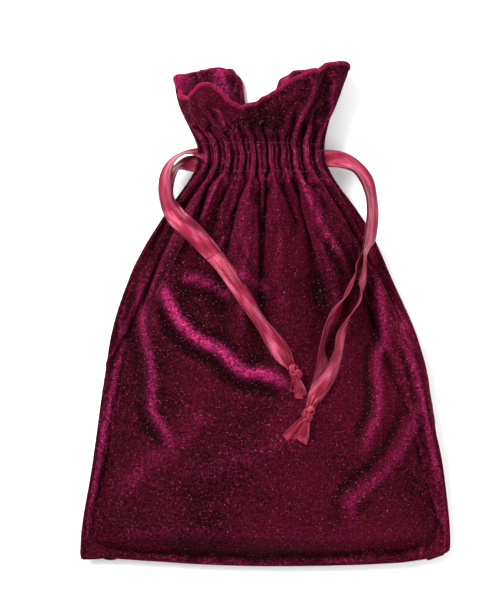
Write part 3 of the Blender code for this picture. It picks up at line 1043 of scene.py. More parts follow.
    def _paint_highlight_and_shade(self) -> None:
        """Notes a painted highlight on crests and painted shade in valleys."""
        normals = self.normals()
        self.shade = np.zeros(len(self.points))
        height = self.points[:, 1]
        calm = 1.0 - 0.7 * smoothstep(height, 0.068, 0.076) * (self.side > 0.0)
        calm -= 0.45 * smoothstep(height, 0.006, 0.020) * (1.0 - smoothstep(height, 0.044, 0.052))
        for side in Side:
            grid = self.grid(side)
            points, facing = self.points[grid], normals[grid]
            for reach, full, lit, dark in RELIEF:
                padded = np.pad(points, ((reach, reach), (reach, reach), (0, 0)), "edge")
                rows, columns = grid.shape
                middle = padded[reach : reach + rows, reach : reach + columns]
                around = (
                    padded[: rows, reach : reach + columns]
                    + padded[2 * reach :, reach : reach + columns]
                    + padded[reach : reach + rows, :columns]
                    + padded[reach : reach + rows, 2 * reach :]
                ) / 4.0
                stand = ((middle - around) * facing).sum(2)
                stand[:, :reach] = stand[:, -reach:] = 0.0
                stand[:reach] = stand[-reach:] = 0.0
                crest = smoothstep(stand, 0.35 * full, 1.2 * full) * lit * calm[grid]
                valley_shade = smoothstep(-stand, 0.1 * full, full) * dark
                self.glow[grid] = np.maximum(self.glow[grid], crest)
                self.shade[grid] = np.maximum(self.shade[grid], valley_shade)
        self._paint_header_highlight_and_shade()
        # Stores the painted highlight and the painted shade as point attributes that the velvet reads.
        for name, values in (("glow", self.glow), ("shade", self.shade)):
            layer = self.mesh.attributes.new(name, "FLOAT", "POINT")
            layer.data.foreach_set("value", values.astype(np.float32))


def floor_trial(scale: float) -> bpy.types.Object:
    """A plane for the cloth to settle on.

    Args:
        scale: the simulation's scale.

    Returns:
        The plane, which is removed after the settling.
    """
    mesh = bmesh.new()
    bmesh.ops.create_grid(mesh, x_segments=2, y_segments=2, size=0.3 * scale)
    data = bpy.data.meshes.new("table_trial")
    mesh.to_mesh(data)
    mesh.free()
    table = bpy.data.objects.new("table_trial", data)
    bpy.context.scene.collection.objects.link(table)
    table.modifiers.new("hit", "COLLISION")
    table.collision.thickness_outer = 0.004
    return table


def read_points(data: bpy.types.Mesh) -> Array:
    """A mesh's points as an array."""
    points = np.zeros(len(data.vertices) * 3)
    data.vertices.foreach_get("co", points)
    return points.reshape(-1, 3)


def write_points(data: bpy.types.Mesh, points: Array) -> None:
    """Puts points back into a mesh."""
    data.vertices.foreach_set("co", points.astype(np.float32).ravel())
    data.update()


def smoothstep(value: Array | float, low: float, high: float) -> Array | float:
    """0 below low, 1 above high, smooth between."""
    part = np.clip((value - low) / (high - low), 0.0, 1.0)
    return part * part * (3.0 - 2.0 * part)


def bell(value: Array | float, middle: float, reach: float) -> Array | float:
    """1 at middle, falling smoothly to 0 at reach on both sides."""
    part = np.clip(np.abs(value - middle) / reach, 0.0, 1.0)
    return (1.0 - part * part) ** 2


def smooth_read(values: Array | tuple, places: Array, at: Array) -> Array:
    """Reads a smooth curve through values at rising places.

    Args:
        values: the values.
        places: where they stand.
        at: where to read.

    Returns:
        The values read.
    """
    values, places, at = np.asarray(values, float), np.asarray(places, float), np.asarray(at, float)
    slopes = np.gradient(values, places)
    low = np.clip(np.searchsorted(places, at) - 1, 0, len(places) - 2)
    span = places[low + 1] - places[low]
    part = np.clip((at - places[low]) / span, 0.0, 1.0)
    rest = 1.0 - part
    lower = values[low] * (1 + 2 * part) * rest**2 + slopes[low] * span * part * rest**2
    upper = values[low + 1] * (1 + 2 * rest) * part**2 - slopes[low + 1] * span * rest * part**2
    return lower + upper


# --------------------------------------------------------------------------- shared makers


def new_piece(name: str, mesh: bmesh.types.BMesh, material: bpy.types.Material) -> bpy.types.Object:
    """Makes a smooth shaded object from a bmesh.

    Args:
        name: the piece's name.
        mesh: its bmesh, which is freed.
        material: its finish.

    Returns:
        The object, at the origin.
    """
    data = bpy.data.meshes.new(name)
    mesh.to_mesh(data)
    mesh.free()
    data.materials.append(material)
    data.shade_smooth()
    piece = bpy.data.objects.new(name, data)
    bpy.context.scene.collection.objects.link(piece)
    LOG.info("%s: %d faces", name, len(data.polygons))
    return piece


def refine(piece: bpy.types.Object, levels: int, thick: float = 0.0, offset: float = -1.0) -> None:
    """Rounds a piece with subdivision, corners kept, and gives a sheet its thickness.

    Args:
        piece: the piece.
        levels: subdivision levels.
        thick: the sheet's thickness, or 0 for none.
        offset: which side the thickness goes to.
    """
    if levels:
        subdivision = piece.modifiers.new("rounding", "SUBSURF")
        subdivision.levels = subdivision.render_levels = levels
        subdivision.boundary_smooth = "PRESERVE_CORNERS"
    if thick:
        wall = piece.modifiers.new("cloth_thickness", "SOLIDIFY")
        wall.thickness = thick
        wall.offset = offset


def moving_mean(values: Array, reach: int) -> Array:
    """The mean of each value and its neighbours up to reach, with the ends kept."""
    padded = np.pad(values, reach, "reflect", reflect_type="odd")
    return np.convolve(padded, np.ones(2 * reach + 1) / (2 * reach + 1), "valid")


def eased(line: list[Vector], reach: int = 3) -> list[Vector]:
    """A line with its kinks taken out by a moving mean, its ends kept."""
    points = np.array([tuple(point) for point in line])
    return [Vector(row) for row in zip(*(moving_mean(points[:, axis], reach) for axis in range(3)))]


def path_length(rings: list[Ring]) -> float:
    """The length along rings' centres."""
    return sum((second[0] - first[0]).length for first, second in zip(rings, rings[1:]))


def swept(rings: list[Ring], across: int, surface: Surface, before: float = 0.0) -> bmesh.types.BMesh:
    """A sheet along rings, from a grid with one row for each ring.

    Args:
        rings: each ring's centre, side vector and facing.
        across: how many faces across.
        surface: gives the sideways and upward offsets at (u from -1 to 1, v from 0 to 1).
        before: the length along that comes before the first ring.

    Returns:
        The bmesh, with a map in metres.
    """
    mesh = bmesh.new()
    bmesh.ops.create_grid(mesh, x_segments=across, y_segments=len(rings) - 1, size=1.0)
    chart = mesh.loops.layers.uv.new("along")
    lengths = [before]
    for first, second in zip(rings, rings[1:]):
        lengths.append(lengths[-1] + (second[0] - first[0]).length)
    chart_of = {}
    for vert in mesh.verts:
        u, v = vert.co.x, (vert.co.y + 1.0) / 2.0
        index = round(v * (len(rings) - 1))
        centre, side, up = rings[index]
        aside, above = surface(u, v)
        vert.co = centre + side * aside + up * above
        chart_of[vert] = (aside, lengths[index])
    for face in mesh.faces:
        for loop in face.loops:
            loop[chart].uv = chart_of[loop.vert]
    return mesh


def tube(points: list[Vector], radius: float, segments: int = 8) -> bmesh.types.BMesh:
    """A closed tube along points.

    Args:
        points: its centre line.
        radius: its radius, which tapers at both ends.
        segments: faces round it.

    Returns:
        The bmesh.
    """
    rings = ring_frames(points, [Vector((0.0, 0.0, 1.0))] * len(points))

    def surface(u: float, v: float) -> tuple[float, float]:
        """The tube's section."""
        turn = math.pi * u
        size = radius * min(1.0, 0.45 + 14.0 * min(v, 1.0 - v))
        return size * math.cos(turn), size * math.sin(turn)

    mesh = swept(rings, segments, surface)
    bmesh.ops.remove_doubles(mesh, verts=mesh.verts, dist=radius * 0.01)
    bmesh.ops.holes_fill(mesh, edges=[edge for edge in mesh.edges if edge.is_boundary])
    bmesh.ops.recalc_face_normals(mesh, faces=mesh.faces)
    for vert in mesh.verts:
        vert.co.z = max(vert.co.z, 0.0001)
    return mesh


def ring_frames(centres: list[Vector], facings: list[Vector]) -> list[Ring]:
    """Side and facing vectors along a line of centres.

    Args:
        centres: the line's points.
        facings: roughly which way the flat side faces at each.

    Returns:
        Each ring's centre, side vector and facing.
    """
    rings = []
    for index, (centre, facing) in enumerate(zip(centres, facings)):
        along = centres[min(index + 1, len(centres) - 1)] - centres[max(index - 1, 0)]
        side = along.cross(facing).normalized()
        rings.append((centre, side, side.cross(along).normalized()))
    return rings


def smooth_line(points: list[Vector], spacing: float) -> tuple[list[Vector], list[float]]:
    """A smooth line through points, read at even steps.

    Args:
        points: the route's own points.
        spacing: the step.

    Returns:
        The read points, and each one's share of the way through the route's points.
    """
    knots = np.array([tuple(point) for point in points])
    steps = np.linalg.norm(np.diff(knots, axis=0), axis=1)
    places = np.concatenate([[0.0], np.cumsum(steps)])
    fine = np.linspace(0.0, places[-1], 400)
    line = np.stack([smooth_read(knots[:, axis], places, fine) for axis in range(3)], 1)
    run = np.concatenate([[0.0], np.cumsum(np.linalg.norm(np.diff(line, axis=0), axis=1))])
    count = max(3, round(run[-1] / spacing)) + 1
    stops = np.interp(np.linspace(0.0, run[-1], count), run, fine)
    read = np.stack([smooth_read(knots[:, axis], places, stops) for axis in range(3)], 1)
    order = np.interp(stops, places, np.arange(len(points)))
    return [Vector(row) for row in read], list(order)


# --------------------------------------------------------------------------- the sewn cloth


@dataclass
class MouthBend:
    """The front lip's hinge, kept as points below and beyond it."""

    start: Vector
    end: Vector
    below: ClassVar[tuple[float, float, float]] = (0.0, 0.0, -0.0031)
    beyond: ClassVar[tuple[float, float, float]] = (0.0, 0.0069, 0.0141)

    @classmethod
    def from_frame(cls) -> "MouthBend":
        """Places the bend at the mouth's hinge."""
        hinge = next(joint for joint in frame["joints"] if joint["name"] == "mouth_open")
        place = Vector(hinge["pos_m"])
        return cls(place + Vector(cls.below), place + Vector(cls.beyond))

    def apply(self, piece: bpy.types.Object) -> None:
        """Bakes a piece's transform into its mesh."""
        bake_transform(piece)


class Bag:
    """Everything sewn: the two velvet panels, their hems, seams and stitches."""

    thick: float = 0.0009
    hem_thick: float = 0.0006
    hem_depth: float = 0.0012
    run_depth: float = 0.00095
    lip_radius: float = 0.00105
    seam_radius: float = 0.00085
    stitch_radius: float = 0.00022

    def __init__(self, cloth: Cloth, bend: MouthBend) -> None:
        """Keeps the settled cloth.

        Args:
            cloth: the settled cloth.
            bend: the mouth's hinge, which bakes each piece's transform.
        """
        self.cloth = cloth
        self.bend = bend
        self.velvet = Velvet().material()
        self.painted_light_inner = PAINTED_LIGHT_HEM_VELVET.material()
        self.edge = PAINTED_LIGHT_EDGE_VELVET.material()
        self.thread = Thread().material()
        self.normals = cloth.normals()
        pattern = cloth.pattern
        self.casing_low = pattern.round_rows + pattern.body_rows
        self.casing_high = self.casing_low + pattern.casing_rows
        self.column = np.rint(cloth.across * pattern.columns).astype(int)
        self.panels: dict[Side, bpy.types.Object] = {}

    def build(self) -> None:
        """Builds every sewn piece."""
        for side in Side:
            self._panel(side)
            self._hem(side)
            self._stitches(side)
            self._ribbon_runs(side)
        self._seams()

    def _mine(self, side: Side) -> Array:
        """Which points belong to one side, seams included."""
        return self.cloth.side * side.value >= -0.5

    def _region(self, side: Side, low: int, high: int, depth: float) -> bmesh.types.BMesh:
        """A copy of one side's cloth between two rows, moved inwards.

        Args:
            side: which side.
            low: the lowest row.
            high: the highest row.
            depth: how far inside the velvet's outer face.

        Returns:
            The bmesh.
        """
        mesh = bmesh.new()
        mesh.from_mesh(self.cloth.mesh)
        mesh.verts.ensure_lookup_table()
        rows, sides = self.cloth.row, self.cloth.side
        wrong = [
            face
            for face in mesh.faces
            if sum(sides[vert.index] for vert in face.verts) * side.value <= 0.0
            or min(rows[vert.index] for vert in face.verts) < low
            or max(rows[vert.index] for vert in face.verts) > high
        ]
        if depth:
            for vert in mesh.verts:
                vert.co -= Vector(self.normals[vert.index]) * depth
        bmesh.ops.delete(mesh, geom=wrong, context="FACES")
        return mesh

    def _panel(self, side: Side) -> None:
        """One velvet panel, from the bottom seam to the lip."""
        name = side.name.lower()
        mesh = self._region(side, 0, self.cloth.pattern.rows, 0.0)
        panel = new_piece(f"{name}_velvet", mesh, self.velvet)
        refine(panel, 1, self.thick)
        self.bend.apply(panel)
        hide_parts(f"{name}_panel", f"{name}_mouth")
        self.panels[side] = panel

    def _hem(self, side: Side) -> None:
        """The turned-in top hem with its rolled lip."""
        name = side.name.lower()
        rows = self.cloth.pattern.rows
        mesh = self._region(side, self.casing_low - 2, rows, self.hem_depth)
        # The hem takes the lighter velvet copy, painted light on the inside of the header.
        hem = new_piece(f"{name}_hem", mesh, self.painted_light_inner)
        refine(hem, 1, self.hem_thick)
        self.bend.apply(hem)
        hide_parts(f"{name}_casing_hem")
        lip = self._line(side, rows, self.thick * 0.6)
        # The lip roll takes the lighter velvet copy, painted light on the rolled edge.
        roll = new_piece(f"{name}_lip_roll", tube(lip, self.lip_radius), self.edge)
        refine(roll, 1)
        self.bend.apply(roll)

    def _line(self, side: Side, row: int, depth: float) -> list[Vector]:
        """One row's points on one side, from the left seam to the right one."""
        chosen = np.flatnonzero(self._mine(side) & (self.cloth.row == row))
        chosen = chosen[np.argsort(self.column[chosen])]
        return [Vector(self.cloth.points[i]) - Vector(self.normals[i]) * depth for i in chosen]

    def _stitches(self, side: Side) -> None:
        """The two rows of machine stitches that close the casing."""
        name = side.name.lower()
        for label, row in (("lower", self.casing_low), ("upper", self.casing_high)):
            line = self._line(side, row, -self.stitch_radius * 0.6)
            mesh = bmesh.new()
            for first, second in zip(line[1::2], line[2::2]):
                along = second - first
                radius = self.stitch_radius
                made = bmesh.ops.create_uvsphere(mesh, u_segments=6, v_segments=5, radius=radius)
                stretch = along.length * 0.55 / radius
                bmesh.ops.scale(mesh, verts=made["verts"], vec=(1.0, 1.0, stretch))
                turn = along.to_track_quat("Z", "Y").to_matrix()
                bmesh.ops.rotate(mesh, verts=made["verts"], matrix=turn)
                bmesh.ops.translate(mesh, verts=made["verts"], vec=(first + second) / 2)
            stitches = new_piece(f"{name}_stitches_{label}", mesh, self.thread)
            self.bend.apply(stitches)
            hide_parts(f"{name}_casing_stitch_{label}")

    def _ribbon_runs(self, side: Side) -> None:
        """Both ribbons inside the casing, following the gathers."""
        satin = bpy.data.materials.get(Satin().name) or Satin().material()
        name = side.name.lower()
        middle = (self.casing_low + self.casing_high) // 2
        spans = {Hand.LEFT: (middle, self.casing_high - 1), Hand.RIGHT: (self.casing_low + 1, middle)}
        for hand, (low, high) in spans.items():
            band = self._region(side, low, high, self.run_depth)
            run = new_piece(f"{hand.value}_run_{name}", band, satin)
            refine(run, 0, self.thick * 0.3)
            self.bend.apply(run)
            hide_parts(f"{hand.value}_ribbon_{name}_run")

    def _seams(self) -> None:
        """The rolled edges where the panels are sewn together."""
        rows, columns = self.cloth.row, self.cloth.pattern.columns
        for hand, column in ((Hand.LEFT, 0), (Hand.RIGHT, columns)):
            chosen = np.flatnonzero((self.column == column) & (self.cloth.side == 0.0))
            chosen = chosen[np.argsort(rows[chosen])]
            line = eased([Vector(self.cloth.points[index]) for index in chosen])
            seam = new_piece(f"{hand.value}_seam_roll", tube(line, self.seam_radius), self.velvet)
            refine(seam, 1)
            self.bend.apply(seam)
            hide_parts(f"{hand.value}_side_seam")
        line = eased(self._line(Side.FRONT, 0, 0.0))
        seam = new_piece("bottom_seam_roll", tube(line, self.seam_radius), self.velvet)
        refine(seam, 1)
        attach(seam, "sack")
        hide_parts("bottom_seam")


# --------------------------------------------------------------------------- the ribbons


@dataclass(frozen=True)
class Route:
    """One strand's route: (x, y, z, roll in degrees) in millimetres, z None where it lies on the bag."""

    exit: tuple[tuple[float, float, float | None, float], ...]
    strand: tuple[tuple[float, float, float | None, float], ...]


# The routes' points: (x, y, z, roll), as in Route, with the hinge as the exit's last point.
LEFT_HINGE = (-28.6, 32.2, None, 0.0)
RIGHT_HINGE = (37.4, 22.6, None, 60.0)
LEFT_STRAND = (
    (-22.3, 25.7, None, 10.0), (-15.9, 18.2, None, 34.0), (-8.1, 6.9, None, 46.0),
    (-0.9, -4.3, None, 38.0), (5.8, -13.7, None, 18.0), (9.2, -18.6, None, 0.0),
)
RIGHT_EXIT = (
    (18.4, 58.4, 10.2, 0.0), (23.0, 58.4, 10.2, 0.0), (29.0, 57.6, 10.6, 22.0),
    (34.6, 54.8, 11.2, 44.0), (38.2, 50.0, 11.8, 40.0), (39.9, 43.8, 12.2, 48.0),
    (40.4, 37.0, 13.4, 45.0), (39.8, 31.5, 15.0, 45.0), (38.9, 27.0, 16.6, 52.0),
    RIGHT_HINGE,
)
LEFT_UPPER = Route(
    exit=(
        (-20.0, 59.6, 10.2, 0.0), (-24.6, 60.0, 10.3, -50.0), (-29.4, 60.0, 11.2, -76.0),
        (-33.7, 57.6, 11.8, -72.0), (-36.3, 53.0, 12.2, -55.0), (-37.0, 47.6, 12.8, -45.0),
        (-36.3, 42.0, 14.4, -45.0), (-33.4, 36.8, None, 0.0),
        LEFT_HINGE,
    ),
    strand=LEFT_STRAND,
)
LEFT_LOWER = Route(
    exit=(
        (-20.0, 56.4, 10.2, 0.0), (-24.6, 56.2, 10.1, 0.0), (-29.0, 56.4, 10.0, -30.0),
        (-32.9, 55.0, 10.2, -68.0), (-35.5, 51.4, 11.2, -52.0), (-36.5, 47.2, 12.2, -45.0),
        (-36.0, 42.2, 14.1, -45.0), (-33.4, 36.8, None, 0.0),
        LEFT_HINGE,
    ),
    strand=LEFT_STRAND,
)
RIGHT_OUTER = Route(
    exit=RIGHT_EXIT,
    strand=(
        (37.2, 18.0, None, 68.0), (36.4, 11.2, None, 72.0), (34.3, 3.9, None, 72.0),
        (30.6, -2.4, None, 70.0), (28.4, -8.0, None, 66.0), (27.2, -15.0, None, 60.0),
        (24.4, -22.6, None, 25.0), (20.6, -29.0, None, 0.0), (18.0, -33.2, None, 0.0),
    ),
)
RIGHT_INNER = Route(
    exit=RIGHT_EXIT,
    strand=(
        (35.6, 18.0, None, 68.0), (33.6, 13.3, None, 72.0), (30.6, 6.6, None, 72.0),
        (26.8, 1.0, None, 72.0), (23.6, -5.1, None, 70.0), (21.4, -12.0, None, 62.0),
        (21.2, -21.0, None, 30.0), (19.6, -28.0, None, 0.0), (17.6, -33.2, None, 0.0),
    ),
)


@dataclass
class Drawstring:
    """One satin drawstring outside the casing: loops, strands, knot and cut ends."""

    hand: Hand
    upper: Route
    lower: Route
    end_lengths: tuple[float, float]
    end_turns: tuple[float, float]
    width: float = 0.00635
    thick: float = 0.00032
    lift: float = 0.0012
    stack: float = 0.00030
    fan: float = 0.0006
    edge_lift: float = 0.46
    curl: float = 0.00022
    ripple: float = 0.00012
    cup: float = 0.00018
    curl_run: float = 0.011
    pinch_run: float = 0.0042
    knot_size: float = 0.00078
    knot_steps: int = 72
    knot_section: tuple[float, float] = (0.00145, 0.00066)
    knot_reach: float = 0.0019
    bend_length: float = 0.014
    ring_step: float = 0.0011
    across: int = 8

    def build(self, ground: BVHTree) -> None:
        """Args:
            ground: the settled front, which the strands lie on.
        """
        self.ground = ground
        self.satin = bpy.data.materials.get(Satin().name) or Satin().material()
        self.tail = f"{self.hand.value}_tail"
        self.knot_body = f"{self.hand.value}_knot"
        knot = self._knot()
        ends = [self._cut_end(index) for index in range(2)]
        self.beneath: list[Vector] = []
        self._strand("lower", self.lower, -self.stack, knot, ends)
        self._strand("upper", self.upper, self.stack, knot, ends)

    def _surface(self, x: float, y: float) -> tuple[Vector, Vector]:
        """The cloth's place and a calm facing below a point."""
        hit = self.ground.ray_cast(Vector((x, y, 0.2)), Vector((0.0, 0.0, -1.0)))
        place = hit[0] if hit[0] is not None else Vector((x, y, 0.004))
        facings = []
        reach = self.width * 0.35
        for dx, dy in ((0, 0), (reach, 0), (-reach, 0), (0, reach), (0, -reach)):
            near = self.ground.ray_cast(Vector((x + dx, y + dy, 0.2)), Vector((0.0, 0.0, -1.0)))
            if near[0] is None:
                continue
            facings.append(near[1] if near[1].z > 0 else -near[1])
            place = place.lerp(Vector((x, y, max(place.z, near[0].z))), 0.6)
        facing = sum(facings, Vector((0.0, 0.0, 0.5))).normalized()
        return place, facing

    def _rings(self, route: Route, stack: float) -> tuple[list[Ring], int]:
        """Rings along a whole strand, and how many of them belong to its loop and bend.

        Args:
            route: the strand's route.
            stack: how far it lies above the pair's middle.

        Returns:
            The rings, and the number of rings up to the end of the bend.
        """
        points, facings, rolls, on_bag = [], [], [], []
        into_knot = (*((self.centre - self.heading * self.knot_reach) / MM).xy, None, 0.0)
        for x, y, z, roll in (*route.exit, *route.strand, into_knot):
            place, facing = Vector((x * MM, y * MM, 0.0)), Vector((0.0, 0.0, 1.0))
            if z is None:
                ground, facing = self._surface(place.x, place.y)
                place.z = ground.z + self.lift
            else:
                place.z = z * MM
            points.append(place)
            facings.append(facing)
            rolls.append(math.radians(roll))
            on_bag.append(float(z is None))
        centres, order = smooth_line(points, self.ring_step)
        steps = np.arange(len(points))
        read = [smooth_read([facing[axis] for facing in facings], steps, order) for axis in range(3)]
        turned = smooth_read(rolls, steps, order)
        resting = np.clip(np.interp(order, steps, on_bag), 0.0, 1.0)
        for index, centre in enumerate(centres):
            if resting[index] > 0.98:
                ground, _ = self._surface(centre.x, centre.y)
                centre.z = ground.z + self.lift
        heights = np.array([centre.z for centre in centres])
        padded, count = np.pad(heights, 3, "edge"), len(heights)
        bridged = np.max([padded[shift : shift + count] for shift in range(7)], axis=0)
        padded = np.pad(0.4 * heights + 0.6 * bridged, 7, "edge")
        heights = np.convolve(padded, np.ones(15) / 15.0, "valid")
        for centre, height, rest, turn in zip(centres, heights, resting, turned):
            centre.z += (height - centre.z) * rest
            centre.z += self.edge_lift * self.width * abs(math.sin(turn)) * rest
        self._rest_on_other(centres, resting)
        rings = []
        fan = self.fan * stack / self.stack
        frames = ring_frames(centres, [Vector(row) for row in zip(*read)])
        for index, (centre, flat, up) in enumerate(frames):
            side = flat * math.cos(turned[index]) + up * math.sin(turned[index])
            facing = up * math.cos(turned[index]) - flat * math.sin(turned[index])
            rings.append((centre + facing * stack + side * fan * resting[index], side, facing))
        hinge = len(route.exit) - 1
        run = np.cumsum([0.0] + [(b[0] - a[0]).length for a, b in zip(rings, rings[1:])])
        at_hinge = float(np.interp(hinge, order, run))
        self.hinge = rings[int(np.searchsorted(run, at_hinge))][0]
        return rings, int(np.searchsorted(run, at_hinge + self.bend_length)) + 1

    def _rest_on_other(self, centres: list[Vector], resting: Array) -> None:
        """Lays the upper strand on the lower one where they run together."""
        if not self.beneath:
            self.beneath = [centre.copy() for centre in centres]
            return
        below = np.array([tuple(centre) for centre in self.beneath])
        for centre, rest in zip(centres, resting):
            gaps = np.hypot(below[:, 0] - centre.x, below[:, 1] - centre.y)
            near = int(np.argmin(gaps))
            close = 1.0 - float(smoothstep(gaps[near], 0.0015, 0.0040))
            centre.z += (max(centre.z, below[near, 2]) - centre.z) * close * rest

    def _strand(self, level: str, route: Route, stack: float, knot: bpy.types.Object, ends: list) -> None:
        """One strand: its loop with the bend over the shoulder, and its straight run to the knot."""
        rings, split = self._rings(route, stack)
        hand = self.hand.value
        loop, run = rings[:split], rings[split - 1 :]
        first = self._band(f"{hand}_{level}_loop", loop, 0.0, 0.0, path_length(run))
        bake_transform(first)
        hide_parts(f"{hand}_ribbon_{level}_exit")
        before = path_length(loop)
        second = self._band(f"{hand}_{level}_strand", run, 1.0, before, 0.0)
        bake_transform(second)
        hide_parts(f"{hand}_ribbon_{level}_strand")

    def _band(
        self, name: str, rings: list[Ring], pinch: float, before: float, after: float
    ) -> bpy.types.Object:
        """A satin band along rings, which bunches where it enters the knot.

        Args:
            name: the piece's name.
            rings: the rings it follows.
            pinch: how much its far end bunches, 0 or 1.
            before: the ribbon's length before it.
            after: the ribbon's length after it, up to the knot.

        Returns:
            The band.
        """
        length = path_length(rings)

        def surface(u: float, v: float) -> tuple[float, float]:
            """The ribbon's section: soft lengthwise waves and turned-up selvedges."""
            left = (1.0 - v) * length
            bunch = pinch * math.exp(-((left / self.pinch_run) ** 2))
            wide = self.width / 2 * (1.0 - 0.66 * bunch)
            run = (after + left) / self.curl_run
            curl = self.curl * u * math.sin(run)
            curl += self.ripple * math.cos(2.2 * math.pi * u + run * 0.7)
            fold = 0.0010 * bunch * math.cos(3.0 * math.pi * u)
            return u * wide, curl + fold + self.cup * u * u

        band = new_piece(name, swept(rings, self.across, surface, before), self.satin)
        refine(band, 1, self.thick, 0.0)
        return band

    def _knot(self) -> bpy.types.Object:
        """The overhand knot: bunched ribbon wound round itself."""
        low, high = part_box(f"{self.hand.value}_ribbon_knot")
        centre = (low + high) / 2
        ground, _ = self._surface(centre.x, centre.y)
        centre.z = ground.z + self.lift + 0.0017
        self.centre = centre
        last = self.upper.strand[-1]
        heading = (Vector((centre.x, centre.y, 0.0)) - Vector((last[0], last[1], 0.0)) * MM).normalized()
        self.heading = heading
        aside = Vector((0.0, 0.0, 1.0)).cross(heading)
        size = self.knot_size
        centres, facings = [], []
        for index in range(self.knot_steps):
            turn = 2.0 * math.pi * index / self.knot_steps
            x = math.sin(turn) + 2.0 * math.sin(2.0 * turn)
            y = math.cos(turn) - 2.0 * math.cos(2.0 * turn)
            z = -math.sin(3.0 * turn)
            point = heading * (x * size * 1.15) + aside * (y * size * 0.70)
            point += Vector((0.0, 0.0, z * size * 0.95))
            centres.append(centre + point)
            facings.append((point + Vector((0, 0, size * 0.4))).normalized())
        rings = ring_frames(centres + centres[:1], facings + facings[:1])
        rings[0] = rings[-1] = (centres[0], rings[0][1], rings[0][2])

        def surface(u: float, v: float) -> tuple[float, float]:
            """Bunched ribbon: an oval with soft pleats."""
            turn = math.pi * u
            pleat = 1.0 + 0.09 * math.cos(5.0 * turn)
            wide, high = self.knot_section
            return wide * pleat * math.cos(turn), high * pleat * math.sin(turn)

        mesh = swept(rings, 18, surface)
        bmesh.ops.remove_doubles(mesh, verts=mesh.verts, dist=0.00004)
        bmesh.ops.recalc_face_normals(mesh, faces=mesh.faces)
        knot = new_piece(f"{self.hand.value}_knot_wraps", mesh, self.satin)
        refine(knot, 1)
        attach(knot, self.knot_body)
        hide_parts(f"{self.hand.value}_ribbon_knot")
        return knot

    def _cut_end(self, index: int) -> bpy.types.Object:
        """One cut end, which opens out of the knot and is cut on a slant."""
        turn = math.radians(self.end_turns[index])
        up = Vector((0.0, 0.0, 1.0))
        away = self.heading * math.cos(turn) + up.cross(self.heading) * math.sin(turn)
        length = self.end_lengths[index] * MM
        centres = []
        for step in range(13):
            part = step / 12
            place = self.centre + away * (0.0016 + (length + 0.0016) * part)
            ground, _ = self._surface(place.x, place.y)
            rest = ground.z + 0.0007 + 0.0007 * index
            place.z = self.centre.z + (rest - self.centre.z) * min(1.0, part * 1.5) ** 1.5
            place.z += 0.0010 * math.sin(part * 5.0 + index) * part
            centres.append(place)
        rings = ring_frames(centres, [up] * len(centres))

        def surface(u: float, v: float) -> tuple[float, float]:
            """Opens from a bunch to the full width, with a slanting cut."""
            wide = self.width / 2 * (0.28 + 0.50 * min(1.0, 1.5 * v))
            wave = 0.0004 * (1.0 - 0.7 * v) * math.cos(2.0 * math.pi * u + index) + 0.0008 * v * u
            return u * wide, wave

        mesh = swept(rings, self.across, surface)
        for vert in mesh.verts:
            along = (vert.co - centres[-1]).dot(away)
            if along > -0.0012:
                vert.co -= away * (0.0009 * (1.0 + (vert.co - centres[-1]).dot(rings[-1][1]) / 0.003))
        end = new_piece(f"{self.hand.value}_cut_end_{index + 1}", mesh, self.satin)
        refine(end, 1, self.thick, 0.0)
        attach(end, self.knot_body)
        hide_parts(f"{self.hand.value}_ribbon_cut_end_{index + 1}")
        return end


# --------------------------------------------------------------------------- the studio


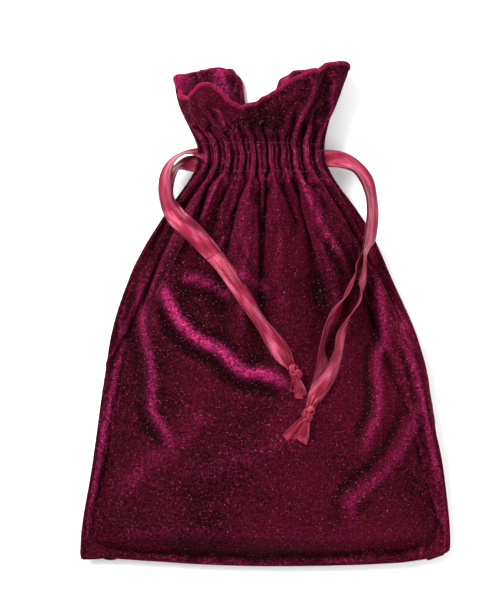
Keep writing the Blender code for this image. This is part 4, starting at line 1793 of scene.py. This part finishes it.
@dataclass(frozen=True)
class Studio:
    """A pale floor, soft light and a camera straight above."""

    distance: float = 0.95
    view_height: float = 0.231
    aim: tuple[float, float, float] = (-0.0054, 0.0021, 0.012)
    floor_size: float = 9.0
    floor_tone: float = 0.93
    air: float = 0.55
    lights: tuple[tuple[str, tuple[float, float, float], float, float], ...] = (
        ("key", (-0.45, 0.42, 0.62), 0.42, 14.0),
        ("fill", (0.60, -0.20, 0.60), 0.60, 5.0),
        ("rim", (0.15, 0.85, 0.22), 0.40, 5.0),
    )

    def build(self) -> None:
        """Makes the camera, the lights and the floor."""
        self._camera()
        self._floor()
        for name, place, size, power in self.lights:
            self._light(name, place, size, power)
        world = bpy.data.worlds.new("studio")
        world.use_nodes = True
        sky = world.node_tree.nodes["Background"]
        sky.inputs["Color"].default_value = (1.0, 1.0, 1.0, 1.0)
        sky.inputs["Strength"].default_value = self.air
        bpy.context.scene.world = world
        bpy.context.scene.view_settings.view_transform = "Standard"

    def _camera(self) -> None:
        """The camera, which looks straight down with the mouth at the top."""
        camera = bpy.data.cameras.new("camera")
        camera.lens = camera.sensor_width * self.distance / self.view_height
        eye = bpy.data.objects.new("camera", camera)
        eye.location = Vector(self.aim) + Vector((0.0, 0.0, self.distance))
        bpy.context.scene.collection.objects.link(eye)
        bpy.context.scene.camera = eye

    def _floor(self) -> None:
        """A pale floor."""
        mesh = bmesh.new()
        bmesh.ops.create_grid(mesh, x_segments=1, y_segments=1, size=self.floor_size / 2)
        tone = (self.floor_tone, self.floor_tone, self.floor_tone, 1.0)
        floor = new_piece("floor", mesh, Nodes("pale_floor").finish(base_color=tone, roughness=0.9))

    @staticmethod
    def _light(name: str, place: tuple[float, float, float], size: float, power: float) -> None:
        """A square softbox that faces the pouch."""
        light = bpy.data.lights.new(name, "AREA")
        light.size, light.energy = size, power
        lamp = bpy.data.objects.new(name, light)
        lamp.location = place
        lamp.rotation_euler = (-Vector(place)).to_track_quat("-Z", "Y").to_euler()
        bpy.context.scene.collection.objects.link(lamp)


def ground_tree(panels: list[bpy.types.Object]) -> BVHTree:
    """A ray tree of the finished front, which ribbons lie on."""
    mesh = bmesh.new()
    graph = bpy.context.evaluated_depsgraph_get()
    for panel in panels:
        mesh.from_object(panel, graph)
    tree = BVHTree.FromBMesh(mesh)
    mesh.free()
    return tree


def main() -> None:
    """Builds the pouch and its studio."""
    logging.basicConfig(level=logging.INFO, format="%(name)s: %(message)s")
    Studio().build()
    cloth = Cloth(PackedForm())
    cloth.build()
    bag = Bag(cloth, MouthBend.from_frame())
    bag.build()
    ground = ground_tree([bag.panels[Side.FRONT]])
    strings = (
        Drawstring(Hand.LEFT, LEFT_UPPER, LEFT_LOWER, (8.0, 5.5), (-20.0, -32.0)),
        Drawstring(Hand.RIGHT, RIGHT_OUTER, RIGHT_INNER, (10.5, 8.5), (-14.0, 10.0)),
    )
    for string in strings:
        string.build(ground)


if __name__ == "__main__":
    main()
